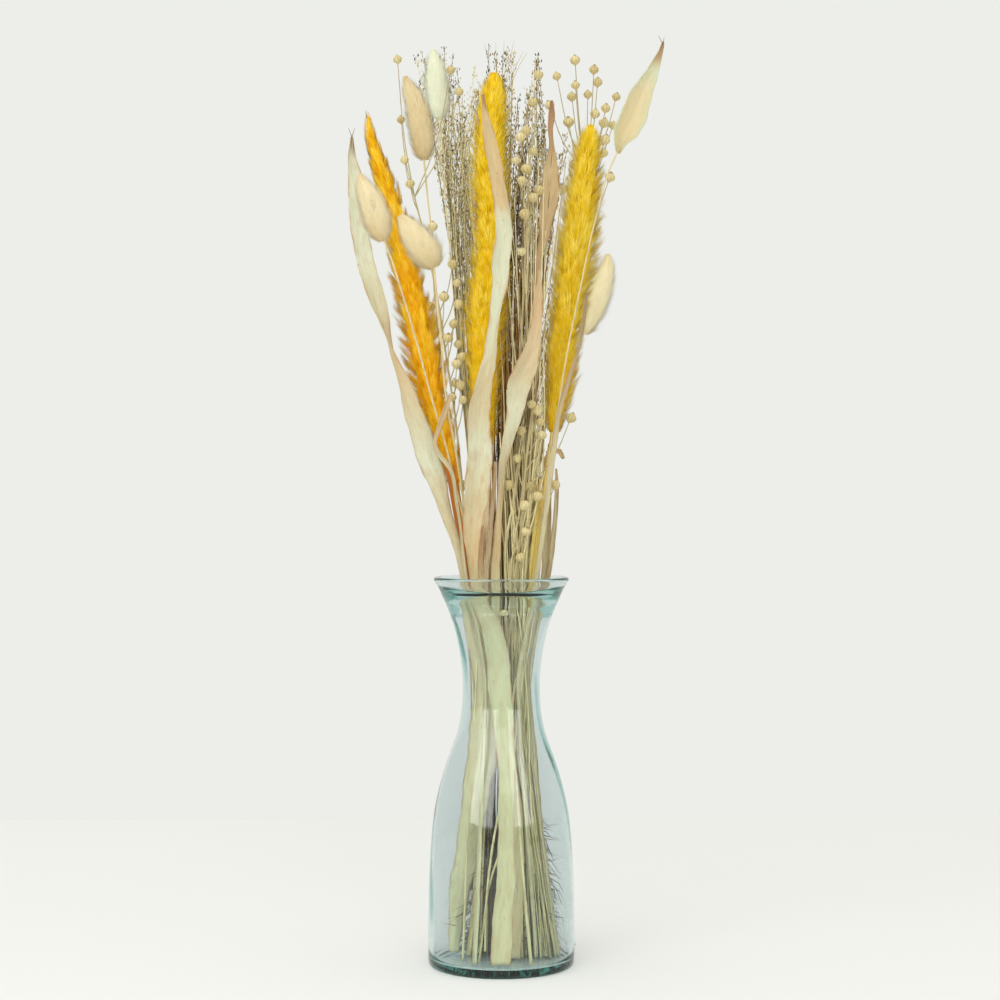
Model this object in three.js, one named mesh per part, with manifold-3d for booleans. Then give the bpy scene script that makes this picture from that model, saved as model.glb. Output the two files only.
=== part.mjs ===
// A bouquet of dried stems in a pale blue-green glass vase. Millimetres, +Z up.
// The origin is the centre of the vase's underside, and -Y is the side that the flowers face.
import * as THREE from 'three';
import { mergeVertices } from 'three/addons/utils/BufferGeometryUtils.js';
import Module from 'manifold-3d';

const wasm = await Module();
wasm.setup();

// Driving dimensions of the vase
const VASE_HEIGHT = 270;
const VASE_WALL = 3.2;
const VASE_BASE = 7;
const VASE_SIDES = 36;
const FOOT_RADIUS = 46.5;
const RIM_RADIUS = 46.9;
const RIM_ROUND = 1.4;
const FLOOR_ROUND = 4.5;
// Heights and outer radii that the vase's side passes through, from the foot to the rim
const VASE_SIDE = [
  [4, 50.8], [25, 51], [66, 50], [98, 47.8], [119, 44.3], [140, 38.4], [160, 31.3],
  [174, 28.2], [187, 27.1], [203, 27.2], [223, 29.9], [243, 35.3], [263, 43.8],
];

// Driving dimensions of the plants
const FLOOR = VASE_BASE + 0.6;
const LEAF_THICK = 0.8;
const STEM_SIDES = 5;
const STALK_SIDES = 4;
const TWIG_SIDES = 3;
const TWIG_RADIUS = 0.5;
const POD_RADIUS = 3.5;
const SPIKELET_RADIUS = 1.5;
const SPIKELET_SPACING = 9;
const SPIKELET_REACH = 75;
// Above this height the bouquet opens out in depth, by this share of the depth at its full height
const FAN_START = 300;
const FAN_HEIGHT = 350;
const FAN_SHARE = 0.9;

// Repeatable random numbers from 0 to 1
function dice(seed) {
  let state = seed;
  return () => {
    state = (state * 48271) % 2147483647;
    return state / 2147483647;
  };
}

// A row of a route, or the tip of a twig, with its depth opened out
function fanned([x, y, z, ...others]) {
  const rise = Math.max(0, (z - FAN_START) / FAN_HEIGHT);
  return [x, y * (1 + FAN_SHARE * rise), z, ...others];
}

// A smooth curve through rows of numbers: all columns of row u, where u may lie between rows
function smooth(rows, u) {
  const last = rows.length - 1;
  const i = Math.min(Math.floor(u), last - 1);
  const f = u - i;
  const row = (k) => {
    if (k < 0) return rows[0].map((v, c) => 2 * v - rows[1][c]);
    if (k > last) return rows[last].map((v, c) => 2 * v - rows[last - 1][c]);
    return rows[k];
  };
  const [a, b, c, d] = [row(i - 1), row(i), row(i + 1), row(i + 2)];
  return b.map((v, k) => v + 0.5 * f * (c[k] - a[k]
    + f * (2 * a[k] - 5 * v + 4 * c[k] - d[k] + f * (3 * (v - c[k]) + d[k] - a[k]))));
}

// Stations along a route, about one step apart: centre, run direction, side and back directions, other columns
function stations(rows, step) {
  const count = [];
  for (let k = 0; k < rows.length - 1; k++) {
    const gap = Math.hypot(rows[k + 1][0] - rows[k][0], rows[k + 1][1] - rows[k][1], rows[k + 1][2] - rows[k][2]);
    count.push(Math.max(1, Math.round(gap / step)));
  }
  const places = count.flatMap((n, k) => Array.from({ length: n }, (_, j) => k + j / n));
  places.push(rows.length - 1);
  const values = places.map((u) => smooth(rows, u));
  const centres = values.map((v) => new THREE.Vector3(v[0], v[1], v[2]));
  const front = new THREE.Vector3(0, -1, 0);
  let side = null;
  return centres.map((centre, k) => {
    const next = centres[Math.min(k + 1, centres.length - 1)];
    const run = next.clone().sub(centres[Math.max(k - 1, 0)]).normalize();
    if (!side) side = run.clone().cross(Math.abs(run.y) > 0.9 ? new THREE.Vector3(0, 0, 1) : front);
    side = side.clone().addScaledVector(run, -side.dot(run)).normalize();
    return { centre, run, side, back: run.clone().cross(side), extra: values[k].slice(3) };
  });
}

// A closed surface from its corner points and faces
function surface(points, faces) {
  const shape = new THREE.BufferGeometry();
  shape.setAttribute('position', new THREE.Float32BufferAttribute(points.flatMap((p) => [p.x, p.y, p.z]), 3));
  shape.setIndex(faces.flat());
  return shape;
}

// Rings of points joined into a closed skin with flat ends
function skin(rings) {
  const n = rings[0].length;
  const faces = [];
  for (let k = 0; k < rings.length - 1; k++) {
    for (let j = 0; j < n; j++) {
      const a = k * n + j;
      const b = k * n + ((j + 1) % n);
      faces.push([a, b, b + n], [a, b + n, a + n]);
    }
  }
  const end = (rings.length - 1) * n;
  for (let j = 1; j < n - 1; j++) faces.push([0, j + 1, j], [end, end + j, end + j + 1]);
  return surface(rings.flat(), faces);
}

// A round stem along rows of x, y, z, radius
function stem(rows, sides = STEM_SIDES, step = 30) {
  return skin(stations(rows, step).map(({ centre, side, back, extra }) => Array.from({ length: sides }, (_, j) => {
    const turn = (2 * Math.PI * j) / sides;
    return centre.clone()
      .addScaledVector(side, extra[0] * Math.cos(turn))
      .addScaledVector(back, extra[0] * Math.sin(turn));
  })));
}

// A thin blade along rows of x, y, z, half width, twist in degrees; its middle lies deeper by hollow x half width
function blade(rows, { hollow = 0.25, step = 18, thick = LEAF_THICK } = {}) {
  const points = stations(rows.map(fanned), step).flatMap(({ centre, side, back, extra: [half, twist = 0] }) => {
    const turn = THREE.MathUtils.degToRad(twist);
    const across = side.clone().multiplyScalar(Math.cos(turn)).addScaledVector(back, Math.sin(turn));
    const behind = back.clone().multiplyScalar(Math.cos(turn)).addScaledVector(side, -Math.sin(turn));
    const place = (width, depth) => centre.clone().addScaledVector(across, width).addScaledVector(behind, depth);
    const t = thick / 2;
    const mid = hollow * half;
    return [place(half, t), place(0, mid + t), place(-half, t), place(-half, -t), place(0, mid - t), place(half, -t)];
  });
  const faces = [[0, 4, 1], [0, 5, 4], [1, 3, 2], [1, 4, 3]];
  const end = points.length - 6;
  faces.push(...[[0, 1, 4], [0, 4, 5], [1, 2, 3], [1, 3, 4]].map((f) => f.map((v) => v + end)));
  for (let k = 0; k < end; k += 6) {
    for (let j = 0; j < 6; j++) {
      const [a, b] = [k + j, k + ((j + 1) % 6)];
      if (j === 3 || j === 4) faces.push([a, b, a + 6], [b, b + 6, a + 6]);
      else faces.push([a, b, b + 6], [a, b + 6, a + 6]);
    }
  }
  return surface(points, faces);
}

// A furry head along rows of x, y, z, radius, from its tip down: every second corner is pulled out and up as a tuft
function fur(rows, { around, step, depth = 0.82, dip = 0.72, lift = 0.9, seed }) {
  const roll = dice(seed);
  const rings = stations(rows, step).map(({ centre, run, side, back, extra: [radius] }, k, all) => {
    const inner = k > 0 && k < all.length - 1;
    return Array.from({ length: around }, (_, j) => {
      const tuft = (k + j) % 2 === 1;
      const reach = radius * (tuft ? 0.93 + 0.14 * roll() : dip + 0.08 * roll());
      const turn = (2 * Math.PI * (j + (roll() - 0.5) * 0.3)) / around;
      const rise = inner && tuft ? Math.min(lift * step, radius) * (0.75 + 0.5 * roll()) : 0;
      return centre.clone()
        .addScaledVector(side, reach * Math.cos(turn))
        .addScaledVector(back, reach * depth * Math.sin(turn))
        .addScaledVector(run, -rise);
    });
  });
  return skin(rings);
}

// A closed shape as a solid that can be joined
function solid(shape) {
  const bare = new THREE.BufferGeometry().setAttribute('position', shape.getAttribute('position'));
  const whole = mergeVertices(bare.setIndex(shape.index), 1e-3);
  return new wasm.Manifold(new wasm.Mesh({
    numProp: 3,
    vertProperties: whole.attributes.position.array,
    triVerts: new Uint32Array(whole.index.array),
  }));
}

// Shapes joined into one closed shape
function joined(shapes) {
  let sum = solid(shapes[0]);
  for (const shape of shapes.slice(1)) sum = sum.add(solid(shape));
  const mesh = sum.getMesh();
  const shape = new THREE.BufferGeometry();
  const points = [];
  for (let k = 0; k < mesh.numVert; k++) {
    points.push(...mesh.vertProperties.slice(k * mesh.numProp, k * mesh.numProp + 3));
  }
  shape.setAttribute('position', new THREE.Float32BufferAttribute(points, 3));
  shape.setIndex(Array.from(mesh.triVerts));
  return shape;
}

// The point of a main stem at a given height; its rows run from the top down
function stemAt(rows, z) {
  let low = 0;
  let high = rows.length - 1;
  for (let k = 0; k < 30; k++) {
    const mid = (low + high) / 2;
    if (smooth(rows, mid)[2] > z) low = mid;
    else high = mid;
  }
  return smooth(rows, low);
}

// A side twig's rows, from its tip down into the main stem: it leaves steeply and bows outwards
function twig(rows, [x, y, z], spread = 1.2) {
  const beside = stemAt(rows, Math.min(z, rows[0][2]));
  const away = Math.hypot(x - beside[0], y - beside[1]);
  const rootHeight = Math.min(z - 14 - spread * away, rows[0][2] - 4);
  const root = stemAt(rows, rootHeight);
  const bow = (share, out) => [
    root[0] + (x - root[0]) * out,
    root[1] + (y - root[1]) * out,
    root[2] + (z - root[2]) * share,
    TWIG_RADIUS,
  ];
  return [[x, y, z, TWIG_RADIUS], bow(0.45, 0.62), [root[0], root[1], root[2], TWIG_RADIUS]];
}

// A spray of round seed pods on forked twigs
function podSpray(route, pods) {
  const rows = route.map(fanned);
  const pieces = [stem(rows, STALK_SIDES)];
  pods.map(fanned).forEach((tip, k) => {
    const pod = new THREE.IcosahedronGeometry(POD_RADIUS * (0.92 + 0.03 * (k % 5)), 0);
    pod.scale(1, 1, 1.12);
    pod.rotateZ(k);
    pod.translate(...tip);
    pieces.push(stem(twig(rows, tip), TWIG_SIDES, 40), pod);
  });
  return joined(pieces);
}

// A spray of fine grass: each twig swells into slim spikelets along its upper part, left and right by turns
function grassSpray(route, tips, seed) {
  const roll = dice(seed);
  const rows = route.map(fanned);
  const pieces = [stem(rows)];
  for (const tip of tips.map(fanned)) {
    const way = twig(rows, tip, 0.9);
    const length = tip[2] - way[2][2];
    const grains = Math.floor(Math.min(SPIKELET_REACH, 0.75 * length) / SPIKELET_SPACING);
    const below = (spacings) => smooth(way, ((way.length - 1) * spacings * SPIKELET_SPACING) / length);
    const thread = [];
    for (let k = 0; k < grains; k++) {
      const turn = (k % 2 ? Math.PI : 0) + 1.4 * roll();
      const neck = below(k);
      const middle = below(k + 0.5);
      thread.push([neck[0], neck[1], neck[2], 0.8 * TWIG_RADIUS]);
      thread.push([middle[0] + Math.cos(turn), middle[1] + 0.6 * Math.sin(turn), middle[2], SPIKELET_RADIUS]);
    }
    thread.push(below(grains), way[2]);
    pieces.push(stem(thread, TWIG_SIDES, 45));
  }
  return joined(pieces);
}

// A furry head with its own stem
const headed = (head, options, stalk, sides = STALK_SIDES) => joined([
  fur(head.map(fanned), options),
  stem(stalk.map(fanned), sides),
]);

// Colours from the photograph
const looks = {
  glass: { color: 0xb4cdcd, roughness: 0.05 },
  lemon: { color: 0xe1be32, roughness: 0.95 },
  amber: { color: 0xd28205, roughness: 0.95 },
  ochre: { color: 0xd7aa28, roughness: 0.95 },
  cream: { color: 0xe1d2aa, roughness: 0.95 },
  beige: { color: 0xd2be8c, roughness: 0.95 },
  greenish: { color: 0xe4e4c8, roughness: 0.95 },
  paleLeaf: { color: 0xd6dbb9, roughness: 0.85 },
  peachLeaf: { color: 0xd7be96, roughness: 0.85 },
  tanLeaf: { color: 0xc3a578, roughness: 0.85 },
  brownLeaf: { color: 0xa0703c, roughness: 0.85 },
  straw: { color: 0xd7c382, roughness: 0.8 },
  pod: { color: 0xcdb482, roughness: 0.8 },
  olive: { color: 0x7a6f4b, roughness: 0.9 },
};
const bouquet = new THREE.Group();
function place(name, shape, look) {
  const mesh = new THREE.Mesh(shape, new THREE.MeshStandardMaterial({ ...looks[look], metalness: 0 }));
  mesh.name = name;
  bouquet.add(mesh);
}

// The vase: one turned glass wall with a thick base
function vaseShape() {
  const side = VASE_SIDE.map(([z, r]) => new THREE.Vector2(r, z));
  const inside = VASE_SIDE.slice(1).reverse().map(([z, r]) => new THREE.Vector2(r - VASE_WALL, z));
  const profile = [
    new THREE.Vector2(0, 0), new THREE.Vector2(FOOT_RADIUS, 0), ...side,
    new THREE.Vector2(RIM_RADIUS, VASE_HEIGHT - RIM_ROUND), new THREE.Vector2(RIM_RADIUS - RIM_ROUND, VASE_HEIGHT),
    new THREE.Vector2(RIM_RADIUS - VASE_WALL, VASE_HEIGHT - RIM_ROUND / 2), ...inside,
    new THREE.Vector2(FOOT_RADIUS, VASE_BASE + FLOOR_ROUND), new THREE.Vector2(FOOT_RADIUS - FLOOR_ROUND, VASE_BASE),
    new THREE.Vector2(0, VASE_BASE),
  ];
  const shape = new THREE.LatheGeometry(profile, VASE_SIDES);
  shape.rotateX(Math.PI / 2);
  return shape;
}
place('vase', vaseShape(), 'glass');

// Three dyed plumes: rows run from the tip down, and the stalk goes on to the vase's floor
place('plume_left', headed([
  [-93, 2, 590, 1], [-90, 1, 573, 4], [-85, 0, 556, 6], [-79, 0, 538, 7.4], [-74, -1, 520, 8.6], [-70, -1, 503, 9.6],
  [-67, -2, 486, 10.6], [-63, -2, 469, 11.6], [-59, -2, 452, 12.4], [-56, -3, 434, 13], [-52, -3, 416, 13],
  [-49, -4, 399, 11.8], [-45, -4, 382, 10.2], [-40, -5, 365, 8.6], [-36, -6, 349, 6.6], [-32, -7, 333, 4],
], { around: 12, step: 7.4, dip: 0.6, lift: 1.1, seed: 11 }, [
  [-45, -4, 382, 2], [-36, -6, 349, 1.9], [-29, -8, 310, 1.8], [-22, -8, 270, 1.8], [-20, -5.5, 232, 1.7],
  [-18, -4, 197, 1.7], [-14, 2, 120, 1.6], [-9, 14, FLOOR, 1.6],
]), 'amber');
place('plume_centre', headed([
  [-5, -8, 617, 3.5], [-5, -8, 606, 9], [-7, -8, 586, 11.4], [-8, -8, 565, 12], [-8, -8, 544, 12.8], [-7, -8, 524, 12.4],
  [-7, -8, 503, 12], [-8, -8, 482, 12.8], [-10, -8, 462, 14.4], [-11, -8, 441, 13.8], [-12, -8, 420, 12.4],
  [-12, -8, 399, 10.2], [-11, -7, 379, 7.4], [-10, -7, 360, 4.2],
], { around: 12, step: 7.2, seed: 23 }, [
  [-11, -7, 379, 2], [-9, -6, 330, 1.8], [-9, -5, 296, 1.8], [-9, -4, 270, 1.8], [-8.5, -2, 232, 1.7],
  [-8, -1, 197, 1.7], [-7, 5, 120, 1.6], [-6, 19, FLOOR, 1.6],
]), 'lemon');
place('plume_right', headed([
  [62, -2, 583, 2.6], [61, -2, 573, 8], [59, -2, 556, 10], [57, -2, 538, 11.8], [55, -2, 521, 12.8], [53, -3, 504, 14.2],
  [51, -3, 488, 14.2], [48, -4, 472, 12.8], [46, -5, 455, 11.8], [43, -6, 438, 11.4], [42, -6, 420, 11.2],
  [41, -7, 403, 9.8], [38, -8, 386, 7], [36, -9, 370, 3.8],
], { around: 12, step: 7.2, seed: 37 }, [
  [38, -8, 386, 2], [33, -10, 351, 1.8], [29, -11, 323, 1.8], [25, -11, 296, 1.8], [22, -11, 270, 1.8],
  [16, -8, 232, 1.7], [11.5, -6, 197, 1.7], [18, 2, 120, 1.6], [30, 16, FLOOR, 1.6],
]), 'ochre');

// Five bunny tail grasses: an oval furry head on a thin stem
const BUNNY = { around: 8, step: 5, depth: 1, dip: 0.8, lift: 0.8 };
place('bunny_upper_left', headed([
  [-68, 16, 622, 2], [-65, 16, 614, 4.8], [-61, 16, 604, 6.8], [-58, 16, 593, 8], [-56, 16, 582, 8.2],
  [-55.5, 16, 572, 6.6], [-54, 16, 563, 2.6],
], { ...BUNNY, seed: 41 }, [
  [-55, 16, 568, 0.8], [-52, 16, 537, 0.8], [-49, 15, 509, 0.8], [-47, 13, 470, 0.8], [-43, 11, 428, 0.8],
  [-37, 9, 386, 0.8], [-30, 7, 344, 0.8], [-23, 6, 302, 0.8], [-19, 5, 270, 0.8], [-19.5, 4, 232, 0.8],
  [-19, 2.5, 197, 0.8], [-15, 8, 120, 0.8], [-12, 22, FLOOR, 0.8],
]), 'beige');
place('bunny_top', headed([
  [-49, 30, 646, 2], [-48, 30, 638, 5], [-47, 30, 627, 7.1], [-46, 30, 616, 7.4], [-45, 30, 606, 6.6], [-44, 30, 596, 2.6],
], { ...BUNNY, seed: 43 }, [
  [-44.5, 30, 600, 0.8], [-41, 29, 563, 0.8], [-36, 27, 528, 0.8], [-33, 24, 492, 0.8], [-30, 21, 457, 0.8],
  [-26, 18, 414, 0.8], [-22, 14, 365, 0.8], [-17, 11, 309, 0.8], [-14, 9, 270, 0.8], [-15.5, 9, 232, 0.8],
  [-15.5, 8.5, 197, 0.8], [-11, 14, 120, 0.8], [-8, 28, FLOOR, 0.8],
]), 'greenish');
place('bunny_left', headed([
  [-94, -38, 541, 2], [-92, -38, 534, 5.4], [-88, -38, 525, 7.8], [-84, -38, 516, 8.8], [-82, -38, 507, 8],
  [-79, -38, 497, 2.8],
], { ...BUNNY, seed: 47 }, [
  [-80, -38, 501, 0.8], [-73, -37, 483, 0.8], [-64, -35, 454, 0.8], [-55, -32, 422, 0.8], [-47, -29, 392, 0.8],
  [-38, -26, 361, 0.8], [-31, -23, 332, 0.8], [-26, -21, 310, 0.8], [-21, -19.5, 270, 0.8], [-13.5, -15, 232, 0.8],
  [-6.3, -13.4, 197, 0.8], [-10, -8, 120, 0.8], [-16, 4, FLOOR, 0.8],
]), 'cream');
place('bunny_mid_left', headed([
  [-69, -26, 516, 2.4], [-64, -26, 510, 6.6], [-59, -26, 503, 9], [-54, -26, 496, 10], [-49, -26, 489, 9.6],
  [-45, -26, 481, 3.2],
], { ...BUNNY, seed: 53 }, [
  [-46, -26, 485, 0.8], [-44, -25, 464, 0.8], [-41, -23, 433, 0.8], [-38, -20, 395, 0.8], [-32, -17, 361, 0.8],
  [-27, -15, 330, 0.8], [-23, -14, 303, 0.8], [-19, -13, 270, 0.8], [-19, -10.5, 232, 0.8], [-18.5, -9.6, 197, 0.8],
  [-17, -5, 120, 0.8], [-20, 8, FLOOR, 0.8],
]), 'cream');
place('bunny_right', headed([
  [75, 14, 496, 2], [74.5, 14, 488, 4.8], [72, 14, 479, 7.2], [68, 14, 469, 8.4], [65, 14, 459, 8.6], [61, 14, 449, 6.8],
  [58, 14, 440, 2.6],
], { ...BUNNY, seed: 59 }, [
  [59, 14, 444, 0.8], [52, 12, 420, 0.8], [45, 9, 399, 0.8], [40, 7, 379, 0.8], [35, 5, 358, 0.8], [30, 3, 316, 0.8],
  [26, 2, 270, 0.8], [20, 3, 232, 0.8], [15, 3.5, 197, 0.8], [24, 10, 120, 0.8], [33, 21, FLOOR, 0.8],
]), 'beige');

// Long leaves: rows hold half width and twist, from the tip down to the foot in the vase
place('leaf_left', blade([
  [-101, -24, 569, 0.7, 0], [-101, -24, 556, 2.6, 0], [-99, -24, 542, 5, 0], [-97, -25, 525, 6.2, 0],
  [-95.5, -25, 505, 5.8, 0], [-93, -24, 488, 5.8, -10], [-89, -24, 474, 5.8, -15], [-85, -23, 460, 5.8, -25],
  [-80, -22, 445, 5, -50], [-76, -21, 432, 4, -80], [-73, -20, 419, 4, -110], [-68, -20, 406, 5, -140],
  [-63, -20, 392, 6, -160], [-58, -20, 377, 6.8, -170], [-53, -20, 361, 7.5, -180], [-48, -20, 347, 7.2, -180],
  [-44, -20, 336, 6.2, -180], [-40, -19, 322, 4.5, -180], [-35, -18, 306, 3.4, -180], [-30, -17, 290, 2.7, -180],
  [-26, -16, 272, 2.4, -180], [-19.5, -14.5, 232, 3.2, -180], [-12.5, -15, 197, 4.2, -180], [-15, -16, 150, 5.4, -180],
  [-19, -14, 117, 6.2, -180], [-25, -6, 74, 6.2, -180], [-31, 0, 46, 5.4, -180], [-33.5, 3, FLOOR + 1, 3, -180],
]), 'paleLeaf');
place('leaf_centre', blade([
  [-12, -36, 594, 0.7, 0], [-11, -36, 582, 1.8, 0], [-8, -37, 566, 4.1, 0], [-5, -38, 551, 4.4, 0], [-2, -38, 535, 4.8, 20],
  [1, -38, 519, 5.4, 25], [2, -37, 501, 5.6, 10], [0, -36, 485, 5.8, 0], [-1, -35, 468, 5.2, 20], [-3, -34, 451, 4.6, 45],
  [-6, -33, 434, 4.6, 40], [-8, -32, 417, 5, 25], [-12, -31, 400, 5.8, 15], [-15, -30, 384, 7.2, 0],
  [-15, -29, 364, 7.8, 0], [-15, -28, 347, 8.4, 0], [-17, -28, 329, 8.2, 0], [-19, -27, 312, 6.8, 0],
  [-20, -26, 296, 5.2, 0], [-19, -25, 281, 3, 0], [-18, -24, 269, 2.6, 0], [-12, -22.5, 252, 4.4, 0],
  [-5, -19.5, 232, 5, 0], [-1, -18.9, 197, 5.6, 0], [3, -25, 146, 4.8, 0], [3, -32, 106, 4.8, 0], [3, -36, 66, 5.8, 0],
  [0, -40, 22, 6.4, 0], [0, -41, FLOOR + 0.5, 6, 0],
]), 'paleLeaf');
place('leaf_right', blade([
  [26, -28, 479, 0.6, 0], [26, -28, 472, 1.4, 0], [25, -28, 459, 2.8, 0], [24, -28, 445, 3.4, 0], [22, -28, 429, 4.8, 0],
  [18, -28, 417, 6.8, 0], [13, -27, 405, 7.8, 0], [11, -26, 392, 6.8, 10], [8, -25, 378, 5.4, 25], [5, -24, 363, 4.6, 40],
  [2, -23, 350, 3.8, 45], [0, -22, 337, 2.6, 40], [-1, -20, 320, 2, 20], [-2, -19, 303, 1.9, 0], [-3, -18, 286, 2.4, 0],
  [-4, -17, 271, 3, 0], [-2.5, -14.8, 232, 3.1, 0], [-0.8, -14.4, 197, 3.2, 0], [5, -14, 150, 4, 0],
  [10, -14, 100, 4.4, 0], [11, -16, 40, 3.6, 0], [10, -17, FLOOR + 0.5, 3, 0],
]), 'peachLeaf');
place('leaf_brown', blade([
  [35, 2, 601, 0.8, 0], [35, 2, 590, 2.2, 0], [34, 2, 581, 1.6, 0], [35, 2, 570, 1.6, 0], [35, 2, 560, 3.5, 0],
  [34, 1, 549, 5.6, 0], [34, 1, 539, 6.1, 0], [33, 1, 528, 6, 0], [31, 0, 518, 4.6, 0], [30, 0, 507, 3.2, 0],
  [27, 0, 497, 2.2, 0], [26, -1, 486, 1.5, 0], [25, -2, 455, 1.2, 0], [23, -4, 393, 1.2, 0], [19, -5, 323, 1.2, 0],
  [16, -5, 270, 1.2, 0], [10.5, -3, 232, 1.2, 0], [7.5, -1.5, 197, 1.2, 0], [15, 5, 120, 1.2, 0],
  [30, 24, FLOOR, 1.2, 0],
], { thick: 1, step: 20 }), 'tanLeaf');
place('leaf_top_right', joined([
  blade([
    [110, -20, 634, 0.7, 0], [107, -20, 625, 2, 0], [101, -20, 611, 4.8, 0], [95, -20, 598, 7.5, 0],
    [89, -20, 583, 8.9, 0], [84, -20, 573, 7.9, 0], [81, -20, 566, 4.4, 0], [79.5, -20, 559, 1.2, 0],
  ], { hollow: 0.35, step: 12 }),
  stem([
    [80.5, -19.8, 563.5, 0.8], [72, -21, 544, 0.8], [66, -22, 522, 0.8], [60, -23, 498, 0.8], [54, -23, 469, 0.8],
    [48, -22, 440, 0.8], [43, -21, 413, 0.8], [39, -20, 387, 0.8], [34, -18, 358, 0.8], [29, -16, 317, 0.8],
    [25, -14, 270, 0.8], [18, -11.5, 232, 0.8], [13.5, -11, 197, 0.8], [20, -4, 120, 0.8], [34, 8, FLOOR, 0.8],
  ].map(fanned)),
]), 'paleLeaf');
place('leaf_slim_right', blade([
  [58, -27, 463, 0.6, 0], [56, -27, 445, 1.3, 30], [53, -27, 427, 1.5, 60], [49, -27, 415, 1.5, 30], [44, -27, 400, 1.5, 0],
  [40, -27, 386, 1.6, 0], [38, -26, 375, 1.6, 0], [34, -24, 345, 1.9, 0], [31, -22.5, 320, 1.7, 0], [24, -19, 270, 1.5, 0],
  [16.5, -17, 232, 1.4, 0], [11.5, -16.5, 197, 1.4, 0], [16, -14, 120, 1.4, 0], [24, -10, FLOOR, 1.2, 0],
], { step: 22 }), 'paleLeaf');

// Short blades and strips at the neck
place('blade_brown', blade([
  [-13, -12, 306, 0.8, 0], [-14, -12, 292, 2, 0], [-14.5, -12, 270, 2.5, 0], [-12, -10.5, 232, 2.1, 0],
  [-10.5, -9.6, 197, 1.9, 0], [-13, -5, 120, 1.8, 0], [-23, -4, FLOOR, 1.5, 0],
], { step: 22 }), 'brownLeaf');
place('blade_pink', blade([
  [-1, -10, 324, 0.8, 0], [-2.5, -10.5, 308, 1.8, 0], [-3.5, -11, 290, 2.6, 0], [-4, -11, 271, 3, 0],
  [-4, -9.5, 232, 2.2, 0], [-3.5, -8.5, 197, 2, 0], [0, -4, 120, 2, 0], [2, 4, FLOOR, 1.6, 0],
], { step: 22 }), 'peachLeaf');
place('blade_straw', blade([
  [27, -6, 338, 0.7, 0], [26, -6, 322, 1.6, 0], [24.5, -6, 300, 2.4, 0], [23, -6, 270, 2.4, 0], [18, -3.5, 232, 2, 0],
  [14.5, -2, 197, 1.5, 0], [22, -1, 120, 1.5, 0], [39, 3, FLOOR, 1.3, 0],
], { step: 22 }), 'straw');
place('strip_bent', blade([
  [-34, -31, 395, 1.2, 0], [-38, -32, 384, 1.7, 0], [-43, -32, 370, 1.8, 20], [-45, -32, 363, 1.8, 50],
  [-43, -32, 356, 1.8, 20], [-34, -30, 343, 1.7, 0], [-31, -26.5, 325, 1.6, 0], [-28.4, -23.4, 308, 1.6, 0],
  [-24.2, -24.4, 272, 1.5, 0],
  [-17, -22.5, 240, 1.4, 0], [-10.9, -19.2, 197, 1.2, 0], [-12, -20.8, 150, 1.3, 0], [-14, -26, 100, 1.5, 0],
  [-18, -34, FLOOR, 1.5, 0],
], { step: 24 }), 'paleLeaf');
place('strip_curled', blade([
  [43, -5, 352, 1, 0], [40, -3, 357, 1.8, 10], [35, -3, 356, 2, 20], [31, -3, 350, 2, 20], [31, -3, 338, 1.8, 0],
  [32, -3, 322, 1.6, 0], [31.5, -4, 298, 1.5, 0], [30, -5, 270, 1.5, 0], [22.5, -6.5, 232, 1.4, 0],
  [18.5, -6.5, 197, 1.3, 0], [26, -6, 120, 1.3, 0], [40, -4, FLOOR, 1.2, 0],
], { step: 24 }), 'peachLeaf');

// Sprays of round seed pods
place('flax_left', podSpray([
  [-62, 14, 540, 0.7], [-52, 12, 500, 0.8], [-44, 9, 460, 0.9], [-38, 7, 420, 0.9], [-32, 4, 380, 0.9],
  [-27, 1, 330, 0.9], [-23.5, -1, 270, 0.9], [-22.5, 0, 232, 0.9], [-21.5, -0.5, 197, 0.9], [-20, 3, 120, 0.9],
  [-19, 17, FLOOR, 0.9],
], [
  [-74, 24, 637], [-71, 18, 592], [-68, 12, 562], [-64, 11, 545], [-48, 6, 514], [-40, 6, 465], [-34, 8, 488],
  [-31, 9, 475], [-30, 7, 460], [-37, 2, 436], [-33, 4, 446], [-30, 7, 432], [-31, 1, 418], [-27, 5, 423],
  [-32.5, 9, 405], [-28, 3, 403], [-26.5, 4, 393], [-34, 3, 395],
]), 'pod');
place('flax_centre', podSpray([
  [20, -4, 560, 0.7], [18, -8, 520, 0.8], [16, -10, 480, 0.9], [14, -8, 440, 0.9], [12, -6, 400, 0.9],
  [11, -3, 340, 0.9], [9, -1, 270, 0.9], [4, -1, 232, 0.9], [2, -2.5, 197, 0.9], [8, 2, 120, 0.9], [12, 14, FLOOR, 0.9],
], [
  [13, -8, 573], [17, -2, 579], [10, -12, 556], [22, -1, 565], [17, -10, 551], [14, -14, 542], [26, -6, 537],
  [22, -11, 531], [16, -16, 519], [14, -18, 493], [26, 6, 620], [22, 3, 600],
]), 'pod');
place('flax_right', podSpray([
  [60, 15, 560, 0.7], [54, 20, 515, 0.8], [47, 22, 470, 0.9], [40, 20, 430, 0.9], [33, 17, 390, 0.9],
  [26, 14, 340, 0.9], [19, 11, 270, 0.9], [14, 9.5, 232, 0.9], [9, 9.5, 197, 0.9], [18, 16, 120, 0.9],
  [26, 30, FLOOR, 0.9],
], [
  [39, 12, 621], [52, 14, 633], [52, 10, 614], [50, 20, 609], [61, 15, 609], [34, 10, 600], [47, 6, 587], [65, 10, 625],
  [68, 16, 618], [73, 7, 597], [66, 14, 595], [72, 12, 588], [79, 18, 588], [73, 15, 577], [72, 13, 567], [76, 8, 549],
  [81, 14, 607], [43, 10, 541], [51, 14, 559],
]), 'pod');
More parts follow.
